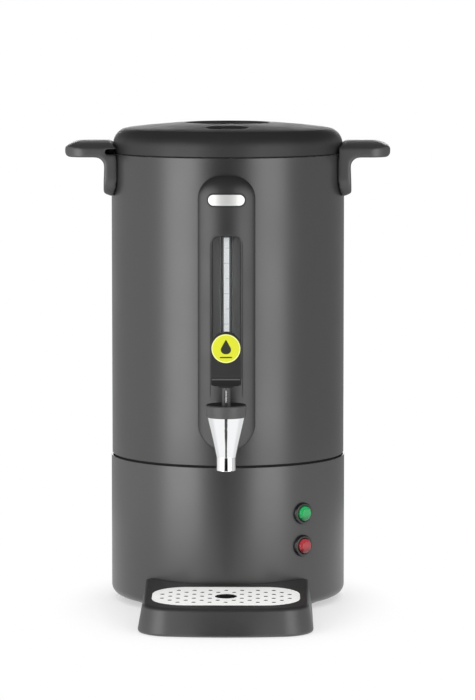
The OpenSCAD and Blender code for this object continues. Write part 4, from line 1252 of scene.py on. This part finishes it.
@dataclass
class Tray(Assembly):
    """The drip tray, whose walls lean in all round, and its grid."""

    width: float = 160.0
    reach: float = 227.5
    back_r: float = 111.4
    back_h: float = 29.5
    front_h: float = 25.0
    base_r: float = 110.8
    lean: float = 4.6
    corner_r: float = 32.0
    bow_r: float = 340.0
    tip_y: float = 83.27
    grid_y: float = 163.5
    pocket: Corner = (135.8, 82.8, 32.4)
    basin: Corner = (127.0, 74.0, 28.0)
    sink: float = 1.75
    floor_z: float = 4.0
    foot_round: float = 2.6
    top_round: float = 3.4
    side_steps: int = 12
    corner_steps: int = 17
    bow_steps: int = 40

    def build(self) -> None:
        """Builds the tray and the grid."""
        self.shell()
        self.grid()

    def grid(self) -> None:
        """Builds the grid, whose hole walls are painted black: painted shade where they lie in the shade of
        the basin.
        """
        obj = self.moulding("drip_grid", PAINTED_LIGHT_STEEL, Body.GRID, "stainless", 0.12, 45)
        # Upright faces, the hole walls, are painted black as shade.
        obj.data.materials.append(NYLON.material())
        for face in obj.data.polygons:
            face.material_index = int(abs(face.normal.z) < 0.6)

    def top(self, y: float) -> float:
        """Height of the sloping top at a distance in front of the axis."""
        return self.back_h - (y - self.base_r) * (self.back_h - self.front_h) / (self.reach - self.base_r)

    def outline(self, lean: float, inset: float) -> list[Span]:
        """Draws the tray's plan, drawn in by a lean that spares the urn's side, and by an inset all round.

        Args:
            lean: How far the front and the sides lean in.
            inset: How far every side is drawn in.

        Returns:
            X and Y of the points, once round from the right ear by way of the front.
        """
        inward = lean + inset
        half, back = self.width / 2 - inward, self.back_r + inset
        corner_x = self.width / 2 - self.corner_r
        bow_y = self.bow_r - self.reach
        corner_y = math.sqrt((self.bow_r - self.corner_r) ** 2 - corner_x**2) - bow_y
        ear_y = max(self.tip_y + inset, math.sqrt(back**2 - half**2))
        ear_x = min(half - 0.02, math.sqrt(back**2 - ear_y**2))
        turn = math.atan2(-bow_y - corner_y, corner_x)
        rise = (corner_y - ear_y) / self.side_steps
        side = [(half, -ear_y - rise * i) for i in range(self.side_steps)]
        corner = arc((corner_x, -corner_y), self.corner_r - inward, 0, turn, self.corner_steps)[:-1]
        front = arc((0, bow_y), self.bow_r - inward, turn, -math.pi - turn, self.bow_steps)
        right = side + corner
        left = [(-x, y) for x, y in reversed(right)]
        start, stop = math.atan2(-ear_y, -ear_x), math.atan2(-ear_y, ear_x)
        return right + front + left + arc((0, 0), back, start, stop, self.bow_steps)

    def rounded(self, size: Corner, grow: float) -> list[Span]:
        """Draws a rectangle with round corners about the grid's middle.

        Args:
            size: Width, length and corner radius.
            grow: How far every side is moved out.

        Returns:
            X and Y of the points.
        """
        w, l, r = size[0] / 2 + grow, size[1] / 2 + grow, size[2] + grow
        points: list[Span] = []
        for quarter, (sx, sy) in enumerate(((1, 1), (-1, 1), (-1, -1), (1, -1))):
            start = math.radians(90 * quarter)
            middle = (sx * (w - r), sy * (l - r) - self.grid_y)
            points += arc(middle, r, start, start + math.pi / 2, self.side_steps)
        return points

    def shell(self) -> None:
        """Skins the tray from rings: foot, walls, rounded top, pocket, ledge and basin."""
        rings: list[list[Corner]] = []
        for a in (0, 30, 60, 90):
            draw = self.foot_round * (1 - math.sin(math.radians(a)))
            rise = self.foot_round * (1 - math.cos(math.radians(a)))
            rings.append([(x, y, rise) for x, y in self.outline(self.lean * rise / self.back_h, draw)])
        for a in (0, 15, 30, 45, 60, 75, 90):
            draw = self.top_round * (1 - math.cos(math.radians(a)))
            drop = self.top_round * (1 - math.sin(math.radians(a)))
            lean = self.lean * (1 - drop / self.back_h)
            rings.append([(x, y, self.top(-y) - drop) for x, y in self.outline(lean, draw)])
        wells: list[list[Corner]] = [
            [(x, y, self.top(-y) - drop) for x, y in self.rounded(size, grow)]
            for size, grow, drop in (
                (self.pocket, 0.8, 0.0),
                (self.pocket, 0.24, 0.24),
                (self.pocket, 0.0, 0.8),
                (self.pocket, 0.0, self.sink),
                (self.basin, 0.0, self.sink),
                (self.basin, -0.4, self.sink + 0.6),
            )
        ]
        for grow, rise in ((-0.4, 3.0), (-1.3, 0.9), (-3.4, 0.0)):
            wells.append([(x, y, self.floor_z + rise) for x, y in self.rounded(self.basin, grow)])
        shape = Shape("drip_tray_piece")
        outer = [shape.loop(ring) for ring in rings]
        inner = [shape.loop(ring) for ring in wells]
        for chain in (outer, inner):
            for a, b in zip(chain, chain[1:]):
                bmesh.ops.bridge_loops(shape.bm, edges=a + b)
        for edges in (outer[-1] + inner[0], outer[0], inner[-1]):
            bmesh.ops.triangle_fill(shape.bm, use_beauty=True, use_dissolve=False, edges=edges)
        bmesh.ops.recalc_face_normals(shape.bm, faces=shape.bm.faces)
        shape.finish(TRAY_PP, Body.TRAY, "black_plastic", ["drip_tray"], even=True)


@dataclass
class Inside(Assembly):
    """What is inside the urn and under its base."""

    steel: Sequence[str] = ("vessel", "pump_tube", "coffee_basket", "spreader")
    elements: Sequence[str] = ("brew_heater", "warm_heater")
    cream: Sequence[str] = ("thermostat", "thermal_cutout", "terminal_block")

    def build(self) -> None:
        """Dresses the inner solids and rounds the gland's edges."""
        self.dress(STAINLESS, self.steel)
        self.dress(CAST, self.elements)
        self.dress(STEATITE, self.cream)
        self.moulding("cord_gland", NYLON, Body.URN, "black_plastic", 0.6, 35)
        self.dress(NYLON, ["gland_nut"])


@dataclass(frozen=True)
class SoftBox:
    """A soft box that faces the urn. Its bearing is from the front, positive to the right."""

    name: str
    bearing: float
    away: float
    width: float
    height: float
    power: float
    aim_z: float = 220.0

    def build(self) -> None:
        """Adds the lamp."""
        data = bpy.data.lights.new(self.name, "AREA")
        data.shape = "RECTANGLE"
        data.size = self.width * MM
        data.size_y = self.height * MM
        data.energy = self.power
        obj = bpy.data.objects.new(self.name, data)
        bpy.context.scene.collection.objects.link(obj)
        turn = math.radians(self.bearing)
        way = Vector((math.sin(turn), -math.cos(turn), 0))
        obj.location = way * self.away * MM + Vector((0, 0, self.aim_z * MM))
        obj.rotation_euler = (-way).to_track_quat("-Z", "Y").to_euler()


@dataclass
class Studio:
    """The floor, the light and the camera.

    A ramp says where along an axis a level changes, and gives the level at both ends. Mirrors see the
    surround through the ramps from front to glow_high, and matt faces see the sky. The floor's ramps and
    lane_y are in metres.
    """

    lens: float = 187.7
    sensor: float = 36.0
    distance: float = 3453.0
    height: float = 591.0
    side: float = 9.1
    pitch: float = 5.87
    yaw: float = 0.5
    sky: Ramp = ((0.0, 1.0), (0.25, 1.5))
    front: Ramp = ((-0.975, -0.9), (0.0, 1.0))
    above: Ramp = ((0.1, 0.42), (1.0, 0.05))
    across: Ramp = ((-0.6, 0.6), (1.0, 0.68))
    behind: Ramp = ((0.0, 0.85), (1.0, 0.6))
    glow_aside: Ramp = ((0.1, 0.32), (1.0, 0.0))
    glow_behind: Ramp = ((0.5, 0.85), (0.0, 1.0))
    glow_low: Ramp = ((0.0, 0.06), (0.0, 15.0))
    glow_high: Ramp = ((0.09, 0.28), (1.0, 0.0))
    floor_r: float = 600.0
    floor_sink: float = 0.2
    shadow: Ramp = ((0.105, 0.17), (0.5, 1.0))
    shadow_squeeze: Corner = (1.0, 0.66, 1.0)
    shadow_shift: Corner = (0.0, 0.04, 0.0)
    floor_glow: Ramp = ((-0.25, -0.05), (1.0, 0.8))
    lane: Ramp = ((0.06, 0.16), (1.0, 0.0))
    lane_y: float = -0.23
    lane_level: float = 0.05
    lamps: tuple[SoftBox, ...] = (
        SoftBox("left_strip", -44.0, 1700.0, 1100.0, 1900.0, 13.6),
        SoftBox("right_strip", 40.0, 1700.0, 1050.0, 1900.0, 11.8),
    )

    def build(self) -> None:
        """Sets the stage."""
        scene = bpy.context.scene
        scene.view_settings.view_transform = "Standard"
        self.world(scene)
        self.floor()
        for lamp in self.lamps:
            lamp.build()
        self.camera(scene)

    def world(self, scene: bpy.types.Scene) -> None:
        """A white surround, dark to mirrors in front and overhead, and bright to matt faces overhead.

        Args:
            scene: The scene that gets it.
        """
        world = bpy.data.worlds.new("studio")
        world.use_nodes = True
        scene.world = world
        tree = world.node_tree
        back = tree.nodes["Background"]
        back.inputs["Color"].default_value = (1, 1, 1, 1)
        ray = add_node(tree, "ShaderNodeLightPath").outputs
        coords = add_node(tree, "ShaderNodeTexCoord").outputs["Generated"]
        way = add_node(tree, "ShaderNodeSeparateXYZ", links={0: coords}).outputs
        x, y, z = way["X"], way["Y"], way["Z"]
        glow = product(
            tree,
            ramp(tree, calc(tree, "ABSOLUTE", x), *self.glow_aside),
            ramp(tree, y, *self.glow_behind),
            ramp(tree, z, *self.glow_low),
            ramp(tree, z, *self.glow_high),
        )
        seen = product(
            tree,
            ramp(tree, y, *self.front),
            ramp(tree, z, *self.above),
            ramp(tree, x, *self.across),
            ramp(tree, y, *self.behind),
            calc(tree, "ADD", glow, 1.0),
        )
        mirror = calc(tree, "MAXIMUM", ray["Is Glossy Ray"], ray["Is Transmission Ray"])
        sky = ramp(tree, z, *self.sky)
        soft = add_node(tree, "ShaderNodeMix", links={"Factor": mirror, "A": sky, "B": seen})
        links = {"Factor": ray["Is Camera Ray"], "A": soft.outputs["Result"]}
        level = add_node(tree, "ShaderNodeMix", {"B": 1.0}, links)
        tree.links.new(level.outputs["Result"], back.inputs["Strength"])

    def floor(self) -> None:
        """A pale floor that takes the urn's shadow and runs out into white."""
        bm = bmesh.new()
        bmesh.ops.create_circle(bm, cap_ends=True, radius=self.floor_r * MM, segments=96)
        bmesh.ops.translate(bm, vec=(0, 0, -self.floor_sink * MM), verts=bm.verts)
        mesh = bpy.data.meshes.new("floor")
        bm.to_mesh(mesh)
        bm.free()
        obj = bpy.data.objects.new("floor", mesh)
        bpy.context.scene.collection.objects.link(obj)
        mesh.materials.append(self.floor_material())

    def floor_material(self) -> bpy.types.Material:
        """Makes the floor's paint, which glows beyond the shadow and shows mirrors a dark lane in front.

        Returns:
            The material.
        """
        mat = bpy.data.materials.new("pale_studio_floor")
        mat.use_nodes = True
        tree = mat.node_tree
        paint = tree.nodes["Principled BSDF"]
        paint.inputs["Base Color"].default_value = linear("f2f2f2")
        paint.inputs["Roughness"].default_value = 0.7
        ray = add_node(tree, "ShaderNodeLightPath").outputs
        camera, glossy = ray["Is Camera Ray"], ray["Is Glossy Ray"]
        coords = add_node(tree, "ShaderNodeTexCoord").outputs["Object"]
        place = add_node(tree, "ShaderNodeSeparateXYZ", links={0: coords}).outputs
        squeezed = add_node(
            tree,
            "ShaderNodeVectorMath",
            {1: self.shadow_squeeze, 2: self.shadow_shift},
            {0: coords},
            operation="MULTIPLY_ADD",
        ).outputs["Vector"]
        far = add_node(tree, "ShaderNodeVectorMath", links={0: squeezed}, operation="LENGTH").outputs["Value"]
        shown = calc(tree, "MAXIMUM", product(tree, ramp(tree, far, *self.shadow), camera), glossy)
        level = calc(tree, "MAXIMUM", ramp(tree, place["Y"], *self.floor_glow), camera)
        bearing = calc(tree, "ABSOLUTE", calc(tree, "DIVIDE", place["X"], place["Y"]))
        ahead = calc(tree, "LESS_THAN", place["Y"], self.lane_y)
        dark = product(tree, ramp(tree, bearing, *self.lane), ahead, glossy)
        glow = add_node(tree, "ShaderNodeEmission", links={"Strength": level}).outputs["Emission"]
        black = add_node(tree, "ShaderNodeEmission", {"Strength": self.lane_level}).outputs["Emission"]
        lit = add_node(tree, "ShaderNodeMixShader", links={0: shown, 1: paint.outputs["BSDF"], 2: glow})
        mix = add_node(tree, "ShaderNodeMixShader", links={0: dark, 1: lit.outputs["Shader"], 2: black})
        tree.links.new(mix.outputs["Shader"], tree.nodes["Material Output"].inputs["Surface"])
        return mat

    def camera(self, scene: bpy.types.Scene) -> None:
        """Puts the camera where the photograph's perspective places it.

        Args:
            scene: The scene that gets it.
        """
        data = bpy.data.cameras.new("camera")
        data.sensor_fit = "VERTICAL"
        data.sensor_height = self.sensor
        data.lens = self.lens
        data.clip_end = 100
        obj = bpy.data.objects.new("camera", data)
        scene.collection.objects.link(obj)
        stand = Matrix.Translation((self.side * MM, -self.distance * MM, self.height * MM))
        tilt = Matrix.Rotation(math.radians(90 - self.pitch), 4, "X")
        obj.matrix_world = about_z(self.yaw) @ stand @ tilt
        scene.camera = obj


def main() -> None:
    """Loads the frame, builds each sub-assembly and sets the stage."""
    logging.basicConfig(level=logging.INFO, format="%(name)s: %(message)s")
    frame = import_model()
    nodes = frame["nodes"]
    for kind in (Shells, Lid, Handles, Column, Tap, Buttons, Tray, Inside):
        LOG.info("building %s", kind.__name__)
        kind(nodes).build()
    Studio().build()


if __name__ == "__main__":
    main()
